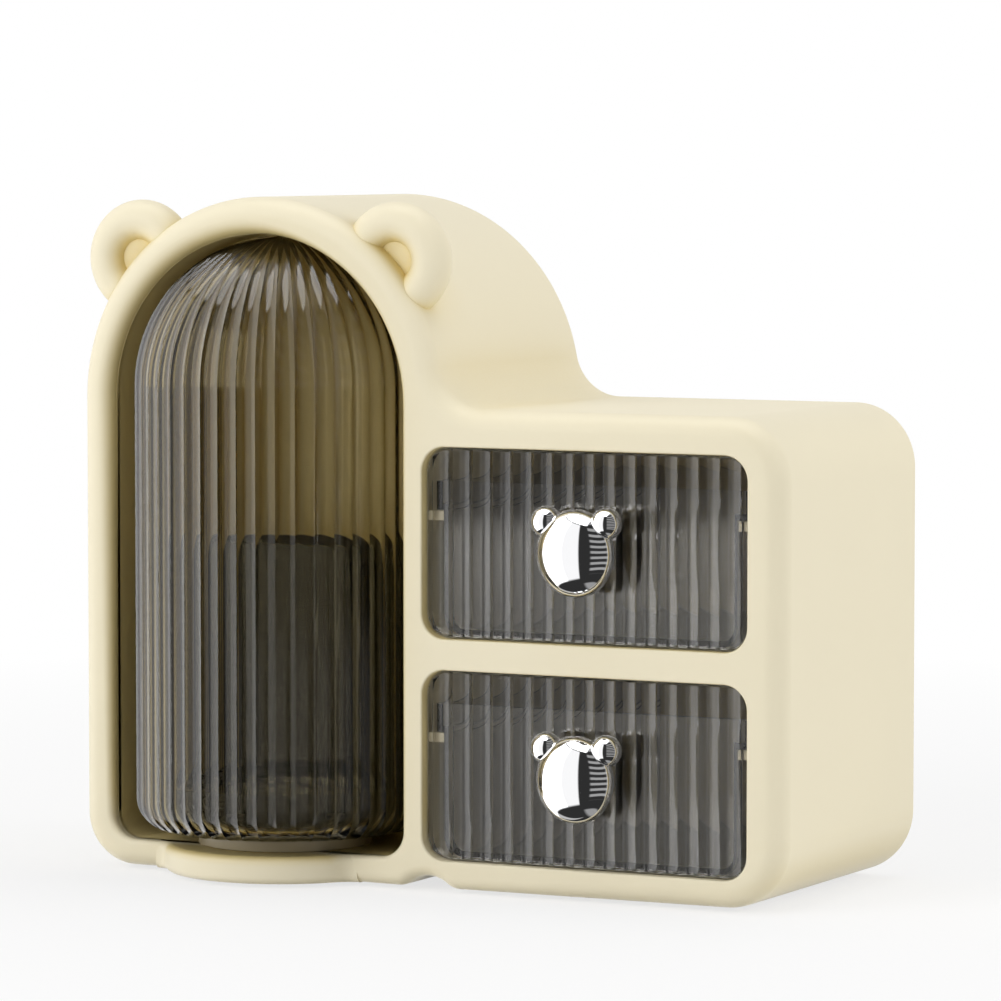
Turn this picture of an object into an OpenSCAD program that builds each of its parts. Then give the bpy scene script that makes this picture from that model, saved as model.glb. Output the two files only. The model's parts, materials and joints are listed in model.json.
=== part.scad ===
// Rotating desk organizer: a fluted, domed pen drum that turns in an arched tower,
// beside a block with two drawers.
// Local frame of the modules: x from the middle of the housing, y back from the front
// plane, z up from the underside of the housing. in_frame() moves it to the part's frame.

/* [Housing] */
// Overall width of the housing
housing_w = 205.7; // [196:0.1:225]
// Depth of the housing from the front plane to the back
housing_d = 84.5; // [80:0.5:100]
// Height of the drawer block
block_h = 124.3; // [118:0.1:140]
// Height of the arched tower
tower_h = 178.6; // [174:0.1:190]
// Outer radius of the tower's arch
tower_r = 53.6; // [51:0.1:56]
// Corner radius at the tower's foot
tower_corner_r = 14; // [8:0.5:18]
// Corner radius at the foot of the drawer block
block_foot_r = 17.3; // [10:0.1:20]
// Corner radius at the top of the drawer block
block_top_r = 16.7; // [10:0.1:20]
// Radius of the hollow between tower and block
valley_r = 13.5; // [8:0.5:20]
// Rounding of the front edge all round
edge_r = 5.5; // [4:0.1:5.8]
// Wall of the outer shell
shell_wall = 2.6; // [2:0.1:3]
// Thickness of the front face
face_t = 3.2; // [2.6:0.1:4]
// Height of the dip under the tower's right-hand foot
dip_h = 3; // [1:0.5:5]
// Half width of that dip
dip_half_w = 9; // [6:0.5:12]

/* [Openings] */
// Width of the rim round the arched opening
arch_rim = 9.7; // [9:0.1:11]
// Height of the sill under all openings
sill_h = 7.3; // [6.5:0.1:9]
// Corner radius at the foot of the arched opening
arch_corner_r = 7; // [4:0.5:9]
// Rounding of the arched opening's front edge
arch_edge_r = 2; // [1:0.1:2.4]
// Stile between the arched opening and the drawers
stile_w = 5.8; // [5.2:0.1:8]
// Rim right of the drawers
side_rim = 10.1; // [9:0.1:14]
// Rim above the drawers
top_rim = 9.7; // [8.5:0.1:14]
// Rail between the two drawers
mid_rail = 8.1; // [6.5:0.1:12]
// Corner radius of the drawer openings
bay_r = 6.5; // [4:0.1:8]
// Wall of the chamber liner and of the drawer sleeves
liner_wall = 2.2; // [1.6:0.1:2.4]
// Radius of the sill that bows forward under the drum
sill_r = 32; // [28:0.5:34]
// Fillet on both sides of the bowed sill
sill_fillet = 5; // [2:0.5:8]
// Rounding of the bowed sill's edges
sill_edge_r = 2; // [1:0.5:3]

/* [Drum] */
// Gap between the drum and the sides of its chamber
drum_gap = 4.5; // [3.9:0.1:6]
// Distance of the drum's axis behind the front plane
drum_back = 15.9; // [14:0.1:18]
// Gap between the drum and the back of its chamber
chamber_gap = 4.7; // [2:0.1:8]
// Gap between the dome's crown and the chamber roof
crown_gap = 0.6; // [0.4:0.1:2]
// Reeds on a full turn
reeds_full = 48; // [40:4:56]
// Reeds that the cover keeps
reeds_cover = 27; // [23:2:29]
// Height of a reed
reed_h = 0.7; // [0.3:0.1:1]
// Wall of the cover under its reeds
cover_wall = 1.8; // [1.4:0.1:2.2]
// Rounding of the cover's bottom edge
cover_foot_r = 8.5; // [7:0.5:10]
// Width of the cover's foot flange inside that rounding
flange_w = 6.9; // [6:0.1:7.5]
// Height of the drum's underside over the chamber floor
bearing_h = 3.9; // [3.2:0.1:5]

/* [Turning base] */
// Gap between the cover's foot flange and the base's hub, which the bearing plate matches
hub_gap = 1; // [0.5:0.1:3]
// Radius of the pivot post as a share of the hub's
post_share = 0.22; // [0.18:0.01:0.26]
// Radius of the thrust washer as a share of the hub's
thrust_share = 0.56; // [0.5:0.01:0.58]
// Radial running clearance on the post
post_play = 0.05; // [0.03:0.01:0.1]
// Thickness of the thrust washer
thrust_t = 0.8; // [0.5:0.1:1.2]
// Wall of the turning base
base_wall = 1.6; // [1.4:0.1:2]
// Height of the turning base's rim over its floor
base_rim_h = 9; // [7:0.5:12]
// Axial play of the turning base under its retaining washer
axial_play = 0.3; // [0.2:0.1:0.5]
// Radius of the retaining washer
retainer_r = 8; // [7:0.5:9]
// Thickness of the retaining washer
retainer_t = 1; // [0.8:0.1:1.4]
// Length of the hub screw
hub_screw_len = 9; // [7:0.5:9]
// Sink of the bearing screws' heads under the plate's top
bearing_sink = 0.1; // [0:0.05:0.3]
// Length of the bearing plate's screws
bearing_screw_len = 5; // [4.6:0.1:5.4]
// Bite of the cover's screws in its foot flange
cover_bite = 1.8; // [1.2:0.1:2]

/* [Rack] */
// Wall of the rack and its partition
rack_wall = 1.6; // [1.2:0.1:2]
// Height of the rack above its own floor
rack_h = 64.5; // [55:0.5:80]
// Free height under the rack's floor
rack_foot_h = 5.2; // [4.6:0.1:8]
// Width of the rack's middle bay
partition_w = 45; // [36:1:48]
// Distance of the partition's plate behind the axis
partition_back = 4; // [2:0.5:8]
// Rounding of the partition's top corners
partition_r = 5; // [2:0.5:8]
// Rounding of the curved wall's top corners
wall_end_r = 8; // [4:0.5:12]
// Width and height of the ledge under the shelf
ledge = 1.5; // [1:0.1:2]
// Gap round the partition and the shelf
rack_gap = 0.3; // [0.2:0.1:0.5]
// Depth of the small-items tray under the rack's rim
tray_depth = 27; // [18:1:36]

/* [Drawers] */
// Gap round a drawer's front panel
panel_gap = 0.5; // [0.3:0.1:0.8]
// Recess of the panel behind the front plane
panel_recess = 2; // [1:0.1:3]
// Thickness of the panel without its reeds
panel_t = 2.4; // [2:0.1:3]
// Pitch of the panel's reeds
reed_pitch = 5.85; // [4:0.05:8]
// Height of the panel's reeds
panel_reed_h = 0.9; // [0.4:0.1:1.2]
// Wall of a drawer tray
tray_wall = 1.5; // [1.2:0.1:2]
// Gap between the tray's wide rim and its sleeve
tray_rim_gap = 1.8; // [1:0.1:2.5]
// Step from the tray's wall out to its rim
tray_step = 2.4; // [2:0.1:3]
// Height of the tray's wide rim
tray_rim_h = 7.5; // [5:0.5:10]
// Distance of the tray's top edge under the sleeve's roof
tray_drop = 9; // [6:0.5:12]
// Gap between the tray's underside and the sleeve's floor
tray_lift = 0.8; // [0.5:0.1:1.5]
// Corner radius at the tray's foot
tray_r = 5.5; // [3:0.5:8]
// Gap between the tray's back and the rear cover
tray_back_gap = 3; // [1:0.5:6]
// Thickness of the runner rails
rail_t = 2.5; // [2:0.1:4]
// Running gap between rail and tray
rail_gap = 0.3; // [0.2:0.05:0.5]

/* [Knobs] */
// Radius of a knob's head
knob_r = 10; // [8:0.5:12]
// Thickness of a knob's head
knob_t = 12.4; // [9:0.2:14]
// Length of a knob's screw
knob_screw_len = 9; // [8:0.5:10]
// Length of a knob's stem
knob_stem = 0.8; // [0.4:0.1:4]
// Radius of a knob's stem
stem_r = 4.5; // [3.5:0.1:6]
// Drop of a knob under the middle of its panel
knob_drop = 1; // [0:0.5:4]
// Radius of a knob's two round lugs
lug_r = 3.8; // [3:0.1:4.5]

/* [Ears] */
// Outer radius of an ear
ear_r = 15.4; // [12:0.1:16]
// Thickness of the ear's ring
ear_t = 10.8; // [8:0.2:12]
// Direction of an ear from the arch's centre
ear_angle = 44; // [40:1:55]
// Distance of an ear's middle behind the front plane
ear_back = 8; // [7:0.5:14]
// Thickness of the web that closes the ear's ring
ear_web_t = 3; // [2:0.5:5]
// Radius of the ear's peg
ear_peg_r = 1.4; // [1:0.1:2]

/* [Small parts] */
// Radius of a rubber foot pad
pad_r = 6; // [5:0.5:7]
// Height of the pads under the housing
pad_drop = 1; // [0.5:0.1:2]
// Distance of the pads from the housing's sides
pad_inset = 25; // [24:1:32]
// Distance of the front pads behind the front plane
pad_front = 18; // [14:1:24]
// Distance of the rear pads from the back
pad_rear = 14; // [10:1:20]
// Depth of the pads' pockets in the housing
pad_seat = 0.6; // [0.4:0.1:1]
// Thickness of the rear cover
rear_t = 2.4; // [1.8:0.1:3]
// Recess of the rear cover in the shell
rear_recess = 0.6; // [0:0.1:1.5]
// Gap round the rear cover
rear_gap = 0.2; // [0.1:0.05:0.4]
// Radius of the screw shanks
screw_r = 1.3; // [1:0.1:1.5]
// Radial gap of a screw in the hole that it bites into
thread_gap = 0.05; // [0.02:0.01:0.1]
// Radial gap of a screw in a hole that it passes through
hole_gap = 0.2; // [0.1:0.05:0.4]
// Radius of the screw heads
head_r = 2.6; // [2.2:0.1:3]
// Height of the screw heads
head_h = 1.6; // [1.2:0.1:2]
// Depth of the pilot holes in the screw bosses
pilot_depth = 12; // [9:1:16]
// Length of the rear cover's screws under their heads' tops
rear_screw_len = 10; // [8:0.5:12]
// Radius of the liner's bosses for the rear cover's screws
liner_boss_r = 3.6; // [3:0.1:4.5]
// Radius of the boss under the valley
valley_boss_r = 4.2; // [3.4:0.1:5]
// Distance of the two lower rear screws from the drum's axis
rear_screw_x = 28; // [20:1:32]
// Height of the two lower rear screws
rear_screw_z = 24; // [16:1:40]
// Height of the upper rear screw over the arch's centre
rear_screw_rise = 30; // [10:1:36]
// Width of the rear cover's locating tabs
tab_w = 12; // [8:1:16]
// Length of the locating tabs
tab_len = 5; // [3:0.5:8]
// Thickness of the locating tabs
tab_t = 1.6; // [1.2:0.1:2]

/* [Hidden] */
$fn = 64;
cream = [0.94, 0.91, 0.82];
smoke = [0.40, 0.37, 0.32, 0.6];
rack_smoke = [0.25, 0.24, 0.23, 0.8];
steel = [0.75, 0.76, 0.78];
eps = 0.01;

// Arch and its opening
arch_x = tower_r - housing_w / 2;
arch_z = tower_h - tower_r;
open_r = tower_r - arch_rim;
valley_z = block_h + valley_r;
valley_x = arch_x + sqrt(pow(tower_r + valley_r, 2) - pow(valley_z - arch_z, 2));
valley_a = atan2(valley_z - arch_z, valley_x - arch_x);

// Dip in the underside: two outward arcs and one inward arc
dip_x = arch_x + open_r + stile_w + 1;
dip_turn = 2 * atan2(dip_h, dip_half_w);
dip_sum_r = dip_half_w / sin(dip_turn);
dip_out_r = max(edge_r + 0.5, 0.4 * dip_sum_r);
dip_in_r = dip_sum_r - dip_out_r;

// Drawer bays
bay_x0 = arch_x + open_r + stile_w;
bay_x1 = housing_w / 2 - side_rim;
bay_w = bay_x1 - bay_x0;
bay_x = (bay_x0 + bay_x1) / 2;
bay_h = (block_h - top_rim - mid_rail - sill_h) / 2;
lower_z = sill_h;
upper_z = sill_h + bay_h + mid_rail;

// Radii of the drum over its reeds, of its foot flange, hub, post and washer
drum_r = open_r - drum_gap;
flange_r = drum_r - cover_foot_r - flange_w;
hub_r = flange_r - hub_gap;
post_r = post_share * hub_r;
thrust_r = thrust_share * hub_r;

// Depths
rear_y0 = housing_d - rear_recess - rear_t;
axis_y = drum_back;
chamber_back = axis_y + drum_r + chamber_gap;

// Bowed sill: how far it bites into the front wall, its top just over the openings' floor, and
// where its fillets meet its disc
sill_bite = 0.15;
sill_top = sill_h + 0.05;
sill_a = asin((axis_y + sill_fillet - sill_bite) / (sill_r + sill_fillet));
sill_fx = (sill_r + sill_fillet) * cos(sill_a);

// Drum heights
drum_z = sill_h + bearing_h;
dome_z = tower_h - arch_rim - crown_gap - drum_r;
cover_in = reed_h + cover_wall;
base_z = drum_z + cover_in;
base_top = base_z + base_wall;
base_out_r = drum_r - cover_in - 0.3;
base_bend_r = cover_foot_r - cover_in + 1;
rack_z = base_top + rack_foot_h;
rack_floor = rack_z + rack_wall;
rack_top = rack_floor + rack_h;
rack_r = base_out_r - base_wall - 0.3;
open_half = 180 - reeds_cover * 180 / reeds_full;
partition_y = axis_y + partition_back;
shelf_top = rack_top - tray_depth;
cover_screw_r = (flange_r + drum_r - cover_foot_r) / 2;
bearing_circle_r = (thrust_r + hub_r) / 2;
rack_foot_r = hub_r - 2;
bearing_screw_angles = [90, 195, 345];

// Drawer sizes
panel_w = bay_w - 2 * panel_gap;
panel_h = bay_h - 2 * panel_gap;
panel_back = panel_recess + panel_reed_h + panel_t;
tray_len = rear_y0 - tray_back_gap - panel_back;
tray_rim_w = bay_w - 2 * tray_rim_gap;
tray_w = tray_rim_w - 2 * tray_step;
tray_h = bay_h - tray_drop - tray_lift;
tray_step_z = tray_h - tray_rim_h;
knob_z = bay_h / 2 - knob_drop;

// Part frame: the middle of the bounding box on the table
ear_reach = tower_r * cos(ear_angle) + ear_r - tower_r;
shift_x = max(0, ear_reach) / 2;
shift_y = -(housing_d - (drum_r - axis_y)) / 2;

module in_frame() {
    translate([shift_x, shift_y, pad_drop]) children();
}

// ---------- outlines ----------

// Points on an arc, with its ends
function arc(cx, cz, r, a0, a1, n) =
    [for (i = [0:n]) let (a = a0 + (a1 - a0) * i / n) [cx + r * cos(a), cz + r * sin(a)]];

// Housing outline, drawn in by d, anticlockwise from the tower's foot
function housing_outline(d) = concat(
    arc(tower_corner_r - housing_w / 2, tower_corner_r, tower_corner_r - d, 180, 270, 7),
    arc(dip_x - dip_half_w, dip_out_r, dip_out_r - d, 270, 270 + dip_turn, 3),
    arc(dip_x, dip_h - dip_in_r, dip_in_r + d, 90 + dip_turn, 90 - dip_turn, 4),
    arc(dip_x + dip_half_w, dip_out_r, dip_out_r - d, 270 - dip_turn, 270, 3),
    arc(housing_w / 2 - block_foot_r, block_foot_r, block_foot_r - d, 270, 360, 8),
    arc(housing_w / 2 - block_top_r, block_h - block_top_r, block_top_r - d, 0, 90, 8),
    arc(valley_x, valley_z, valley_r + d, 270, 180 + valley_a, 6),
    arc(arch_x, arch_z, tower_r - d, valley_a, 180, 32)
);

// Arched opening, drawn in by d
function arch_outline(d) = concat(
    arc(arch_x - open_r + arch_corner_r, sill_h + arch_corner_r, arch_corner_r - d, 180, 270, 5),
    arc(arch_x + open_r - arch_corner_r, sill_h + arch_corner_r, arch_corner_r - d, 270, 360, 5),
    arc(arch_x, arch_z, open_r - d, 0, 180, 32)
);

// Plan of the bowed sill: a disc round the drum's axis, filleted into the front plane
function sill_outline(d) = concat(
    [[arch_x - sill_fx, face_t - sill_bite]],
    arc(arch_x - sill_fx, sill_bite - sill_fillet, sill_fillet + d, 90, sill_a, 4),
    arc(arch_x, axis_y, sill_r - d, 180 + sill_a, 360 - sill_a, 24),
    arc(arch_x + sill_fx, sill_bite - sill_fillet, sill_fillet + d, 180 - sill_a, 90, 4),
    [[arch_x + sill_fx, face_t - sill_bite]]
);

// ---------- builders ----------

// Solid through a list of closed rings with equal point counts
module skin(rings) {
    n = len(rings[0]);
    m = len(rings);
    points = [for (ring = rings) for (p = ring) p];
    sides = [for (j = [0:m - 2]) for (i = [0:n - 1]) let (k = (i + 1) % n)
        [j * n + i, j * n + k, (j + 1) * n + k, (j + 1) * n + i]];
    first = [for (i = [0:n - 1]) n - 1 - i];
    last = [for (i = [0:n - 1]) (m - 1) * n + i];
    polyhedron(points, concat(sides, [first, last]), convexity = 10);
}

// Closed tube through a list of rings, the last joined to the first
module sweep(rings) {
    n = len(rings[0]);
    m = len(rings);
    points = [for (ring = rings) for (p = ring) p];
    polyhedron(points, [for (j = [0:m - 1]) for (i = [0:n - 1])
        let (k = (i + 1) % n, l = (j + 1) % m)
        [j * n + i, j * n + k, l * n + k, l * n + i]], convexity = 10);
}

// An xz ring at depth y, and an xy ring at height z
function ring_y(pts, y) = [for (p = pts) [p[0], y, p[1]]];
function ring_z(pts, z) = [for (p = pts) [p[0], p[1], z]];

// Depth and draw-in of step i of n on a quarter-round edge of radius r
function round_depth(r, i, n) = r * (1 - cos(90 * i / n));
function round_in(r, i, n) = r * (1 - sin(90 * i / n));

// Extrudes an xz drawing from depth y0 to y1
module along_y(y0, y1) {
    translate([0, y1, 0]) rotate([90, 0, 0]) linear_extrude(y1 - y0) children();
}

// Rectangle with round corners, lower left corner at the origin
module round_rect(w, h, r) {
    translate([r, 0]) square([w - 2 * r, h]);
    translate([0, r]) square([w, h - 2 * r]);
    for (x = [r, w - r], z = [r, h - r]) translate([x, z]) circle(r);
}

module bay_shape(grow) {
    translate([bay_x0 - grow, -grow])
        round_rect(bay_w + 2 * grow, bay_h + 2 * grow, bay_r + grow);
}

// Ring between two radii
module ring(r_out, r_in, h) {
    difference() {
        cylinder(r = r_out, h = h);
        translate([0, 0, -1]) cylinder(r = r_in, h = h + 2);
    }
}

// Screw with its head's top at the origin, pointing down
module screw(length) {
    translate([0, 0, -head_h]) cylinder(r = head_r, h = head_h);
    translate([0, 0, -length]) cylinder(r = screw_r, h = length - head_h + eps);
}

// ---------- housing ----------

rear_screws = [
    [arch_x - rear_screw_x, rear_screw_z], [arch_x + rear_screw_x, rear_screw_z],
    [arch_x, arch_z + rear_screw_rise]
];
valley_boss_d = valley_r + shell_wall + valley_boss_r - 0.3;
valley_boss = [valley_x + valley_boss_d * cos(230), valley_z + valley_boss_d * sin(230)];
pads = [for (x = [pad_inset, housing_w - pad_inset], y = [pad_front, housing_d - pad_rear])
    [x - housing_w / 2, y]];

// Outer wall with its rounded front edge: a section carried round the housing's outline, as
// points of draw-in and depth
module housing_wall() {
    steps = 4;
    section = concat(
        [for (i = [0:steps]) [round_in(edge_r, i, steps), round_depth(edge_r, i, steps)]],
        [[0, housing_d], [shell_wall, housing_d], [shell_wall, face_t], [edge_r, face_t]]
    );
    sweep([for (p = section) ring_y(housing_outline(p[0]), p[1])]);
}

module bowed_sill() {
    steps = 3;
    skin(concat(
        [for (i = [0:steps]) ring_z(sill_outline(round_in(sill_edge_r, i, steps)),
                                    sill_top - round_depth(sill_edge_r, i, steps))],
        [ring_z(sill_outline(0), sill_edge_r), ring_z(sill_outline(sill_edge_r), 0)]
    ));
}

// Cut of the arched opening through the front face, rounded at its front edge
module arch_cut() {
    steps = 3;
    skin(concat(
        [for (y = [-1, -arch_edge_r / 40]) ring_y(arch_outline(-arch_edge_r), y)],
        [for (i = [1:steps]) ring_y(arch_outline(-round_in(arch_edge_r, i, steps)),
                                    round_depth(arch_edge_r, i, steps))],
        [ring_y(arch_outline(0), face_t + 1)]
    ));
}

module front_housing() {
    in_frame() color(cream) {
        difference() {
            union() {
                housing_wall();
                along_y(0, face_t) polygon(housing_outline(edge_r));
            }
            arch_cut();
            for (z = [lower_z, upper_z]) {
                along_y(-1, face_t + 1) translate([0, z]) bay_shape(0);
            }
            for (p = pads) translate([p[0], p[1], -1]) cylinder(r = pad_r + rear_gap, h = 1 + pad_seat);
            for (side = [-1, 1]) ear_peg(side, thread_gap);
        }
        bowed_sill();
        valley_boss_post();
    }
}

// Post in the hollow under the valley that takes a rear cover screw
module valley_boss_post() {
    difference() {
        along_y(face_t, rear_y0) translate(valley_boss) circle(valley_boss_r);
        along_y(rear_y0 - pilot_depth, rear_y0 + 1)
            translate(valley_boss) circle(screw_r + thread_gap);
    }
}

module chamber_liner() {
    floor_z = sill_h - liner_wall;
    liner_foot_w = 8;
    in_frame() color(cream) {
        difference() {
            along_y(face_t, chamber_back + liner_wall) polygon(arch_outline(-liner_wall));
            along_y(face_t - 1, chamber_back) polygon(arch_outline(0));
            translate([arch_x, axis_y, floor_z - 1]) bearing_screw_places()
                cylinder(r = screw_r + thread_gap, h = liner_wall + 2);
        }
        // Feet that stand on the shell's floor
        for (x = [-open_r / 2, open_r / 2], y = [face_t + 2, chamber_back - liner_foot_w - 2])
            translate([arch_x + x - liner_foot_w / 2, y, shell_wall])
                cube([liner_foot_w, liner_foot_w, floor_z - shell_wall]);
        // Bosses for the rear cover's screws
        for (p = rear_screws) difference() {
            along_y(chamber_back + liner_wall, rear_y0) translate(p) circle(liner_boss_r);
            along_y(rear_y0 - pilot_depth, rear_y0 + 1) translate(p) circle(screw_r + thread_gap);
        }
    }
}

module drawer_carcass() {
    rail_w = tray_rim_gap + tray_step - rail_gap;
    rail_z = tray_lift + tray_step_z - rail_gap - rail_t;
    in_frame() color(cream) {
        for (z = [lower_z, upper_z]) {
            difference() {
                along_y(face_t, rear_y0) translate([0, z]) bay_shape(liner_wall);
                along_y(face_t - 1, rear_y0 + 1) translate([0, z]) bay_shape(0);
            }
            for (x = [bay_x0, bay_x1 - rail_w])
                translate([x, face_t + 3, z + rail_z]) cube([rail_w, rear_y0 - face_t - 6, rail_t]);
        }
        // Webs between the two sleeves
        for (x = [bay_x0 + 12, bay_x, bay_x1 - 12])
            translate([x - 1, face_t, lower_z + bay_h + liner_wall])
                cube([2, rear_y0 - face_t, mid_rail - 2 * liner_wall]);
    }
}

module rear_cover() {
    tab_in = shell_wall + rear_gap;
    holes = concat(rear_screws, [valley_boss]);
    in_frame() color(cream) {
        difference() {
            along_y(rear_y0, rear_y0 + rear_t) polygon(housing_outline(shell_wall + rear_gap));
            for (p = holes) {
                along_y(rear_y0 - 1, rear_y0 + rear_t + 1) translate(p) circle(screw_r + hole_gap);
                along_y(rear_y0 + rear_t - head_h, rear_y0 + rear_t + 1)
                    translate(p) circle(head_r + hole_gap);
            }
        }
        // Locating tabs along the shell's inner wall
        for (x = [arch_x - open_r / 2, arch_x + open_r / 2, bay_x - bay_w / 4, bay_x + bay_w / 4])
            translate([x - tab_w / 2, rear_y0 - tab_len, tab_in]) cube([tab_w, tab_len, tab_t]);
        for (x = [bay_x - bay_w / 4, bay_x + bay_w / 4])
            translate([x - tab_w / 2, rear_y0 - tab_len, block_h - tab_in - tab_t])
                cube([tab_w, tab_len, tab_t]);
        for (share = [0.3, 0.7]) {
            translate([tab_in - housing_w / 2, rear_y0 - tab_len, share * arch_z - tab_w / 2])
                cube([tab_t, tab_len, tab_w]);
            translate([housing_w / 2 - tab_in - tab_t, rear_y0 - tab_len, share * block_h - tab_w / 2])
                cube([tab_t, tab_len, tab_w]);
        }
    }
}

module rear_cover_screws() {
    in_frame() color(steel)
        for (p = concat(rear_screws, [valley_boss]))
            translate([p[0], rear_y0 + rear_t, p[1]]) rotate([-90, 0, 0]) screw(rear_screw_len);
}

module foot_pads() {
    in_frame() color("dimgray")
        for (p = pads) translate([p[0], p[1], -pad_drop])
            cylinder(r = pad_r, h = pad_drop + pad_seat);
}

// ---------- ears ----------

// Peg that plugs an ear into the arch, and with grow its hole
module ear_peg(side, grow) {
    translate([arch_x, ear_back + 2, arch_z]) rotate([0, side * (90 - ear_angle), 0])
        translate([0, 0, tower_r - shell_wall - 2]) cylinder(r = ear_peg_r + grow, h = shell_wall + 4);
}

// Solid of the arch with its rounded front edge, which the ear sits on
module arch_core() {
    translate([arch_x, 0, arch_z]) rotate([-90, 0, 0]) rotate_extrude($fn = 128) {
        difference() {
            translate([0, -1]) square([tower_r, housing_d + 1]);
            translate([tower_r - edge_r, -1]) square([edge_r + 1, edge_r + 1]);
        }
        translate([tower_r - edge_r, edge_r]) circle(edge_r);
    }
}

module ear(side) {
    tube_r = ear_t / 2;
    in_frame() color(cream) {
        difference() {
            translate([arch_x + side * tower_r * cos(ear_angle), ear_back,
                       arch_z + tower_r * sin(ear_angle)]) rotate([90, 0, 0]) {
                rotate_extrude() translate([ear_r - tube_r, 0]) circle(tube_r);
                translate([0, 0, -ear_web_t - 0.5]) cylinder(r = ear_r - tube_r, h = ear_web_t);
            }
            arch_core();
        }
        ear_peg(side, 0);
    }
}

module left_ear() {
    ear(-1);
}

module right_ear() {
    ear(1);
}

// ---------- drum ----------

// Direction th is measured from the front, round the drum's axis
function turn_pt(r, z, th) = [arch_x + r * sin(th), axis_y - r * cos(th), z];

// Stations down the cover: dome, bottom edge and foot flange, as [kind, angle]
dome_steps = 8;
foot_steps = 5;
crown_a = 86;
stations = concat(
    [for (i = [0:dome_steps]) ["dome", crown_a * (1 - i / dome_steps)]],
    [for (i = [0:foot_steps]) ["foot", 90 * i / foot_steps]],
    [["flange", 0]]
);

// Radius and height of a station, drawn in from the reeds' crests
function cover_rz(s, inset) =
    s[0] == "dome" ? [(drum_r - inset) * cos(s[1]), dome_z + (drum_r - inset) * sin(s[1])]
    : s[0] == "foot" ? [drum_r - cover_foot_r + (cover_foot_r - inset) * cos(s[1]),
                        drum_z + cover_foot_r - (cover_foot_r - inset) * sin(s[1])]
    : [flange_r, drum_z + inset];

// The reeds run out towards the crown and under the foot
function reed_share(s) = s[0] == "flange" ? 0 : sqrt(cos(s[1]));

// Depth under a reed's crest, as a share, at offset f from -0.5 to 0.5 across the reed
function reed_in(f) = 4 * f * f;

module drum_cover() {
    per_reed = 4;
    n = reeds_cover * per_reed;
    m = len(stations);
    half = reeds_cover * 180 / reeds_full;
    w = n + 1;
    o = m * w;
    outer = [for (s = stations) for (i = [0:n])
        let (f = (i % per_reed) / per_reed - 0.5,
             rz = cover_rz(s, reed_h * reed_in(f) * reed_share(s)))
        turn_pt(rz[0], rz[1], half * (2 * i / n - 1))];
    inner = [for (s = stations) for (i = [0:n])
        let (rz = cover_rz(s, cover_in)) turn_pt(rz[0], rz[1], half * (2 * i / n - 1))];
    faces = concat(
        [for (j = [0:m - 2]) for (i = [0:n - 1]) let (k = j * w + i)
            [k, k + 1, k + w + 1, k + w]],
        [for (j = [0:m - 2]) for (i = [0:n - 1]) let (k = o + j * w + i)
            [k, k + w, k + w + 1, k + 1]],
        [for (j = [0:m - 2]) [j * w, (j + 1) * w, o + (j + 1) * w, o + j * w]],
        [for (j = [0:m - 2]) let (k = j * w + n) [k + w, k, o + k, o + k + w]],
        [for (i = [0:n - 1]) [i + 1, i, o + i, o + i + 1]],
        [for (i = [0:n - 1]) let (k = (m - 1) * w + i) [k, k + 1, o + k + 1, o + k]]
    );
    crown_z = dome_z + drum_r * sin(crown_a);
    in_frame() color(smoke) difference() {
        union() {
            polyhedron(concat(outer, inner), faces, convexity = 10);
            // Crown button that closes the dome's top
            translate([arch_x, axis_y, crown_z - cover_in])
                cylinder(r = 1.2 + drum_r * cos(crown_a), h = cover_in);
        }
        cover_screw_places() translate([0, 0, base_z - cover_bite - 0.2])
            cylinder(r = screw_r + thread_gap, h = cover_bite + 1);
    }
}

// Three places on the foot flange
module cover_screw_places() {
    translate([arch_x, axis_y, 0])
        for (a = [-60, 0, 60]) rotate([0, 0, a]) translate([0, -cover_screw_r, 0]) children();
}

module drum_base() {
    in_frame() color(rack_smoke) difference() {
        translate([arch_x, axis_y, 0]) {
            // Bowl that follows the inside of the cover's foot
            translate([0, 0, base_z]) rotate_extrude() difference() {
                bowl_profile(0);
                bowl_profile(base_wall);
            }
            translate([0, 0, drum_z]) cylinder(r = hub_r, h = cover_in + eps);
        }
        translate([arch_x, axis_y, drum_z - 1])
            cylinder(r = post_r + post_play, h = base_top - drum_z + 2);
        cover_screw_places() translate([0, 0, base_z - 1])
            cylinder(r = screw_r + hole_gap, h = base_wall + 2);
    }
}

// Half section of the bowl, drawn in by d, open above
module bowl_profile(d) {
    over = d > 0 ? 1 : 0;
    translate([0, d]) square([base_out_r - base_bend_r, base_bend_r]);
    translate([0, base_bend_r])
        square([base_out_r - d, base_wall + base_rim_h - base_bend_r + over]);
    translate([base_out_r - base_bend_r, base_bend_r]) intersection() {
        circle(base_bend_r - d);
        translate([-1, -base_bend_r]) square([base_bend_r + 1, base_bend_r + 1]);
    }
}

module cover_screws() {
    in_frame() color(steel) cover_screw_places() translate([0, 0, base_top + head_h])
        screw(head_h + base_wall + cover_bite);
}

// Three places round the post, for a part that stands on the drum's axis
module bearing_screw_places() {
    for (a = bearing_screw_angles) rotate([0, 0, a]) translate([bearing_circle_r, 0, 0]) children();
}

module bearing_base() {
    plate_h = drum_z - thrust_t - sill_top;
    head_z = plate_h - bearing_sink - head_h;
    in_frame() color("gainsboro") translate([arch_x, axis_y, sill_top]) difference() {
        union() {
            cylinder(r = hub_r, h = plate_h);
            cylinder(r = post_r, h = base_top + axial_play - sill_top);
        }
        bearing_screw_places() {
            translate([0, 0, -1]) cylinder(r = screw_r + hole_gap, h = plate_h + 2);
            translate([0, 0, head_z]) cylinder(r = head_r + hole_gap, h = plate_h);
        }
        translate([0, 0, 1]) cylinder(r = screw_r + thread_gap, h = base_top - sill_top);
    }
}

module bearing_screws() {
    in_frame() color(steel) translate([arch_x, axis_y, drum_z - thrust_t - bearing_sink])
        bearing_screw_places() screw(bearing_screw_len);
}

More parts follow.
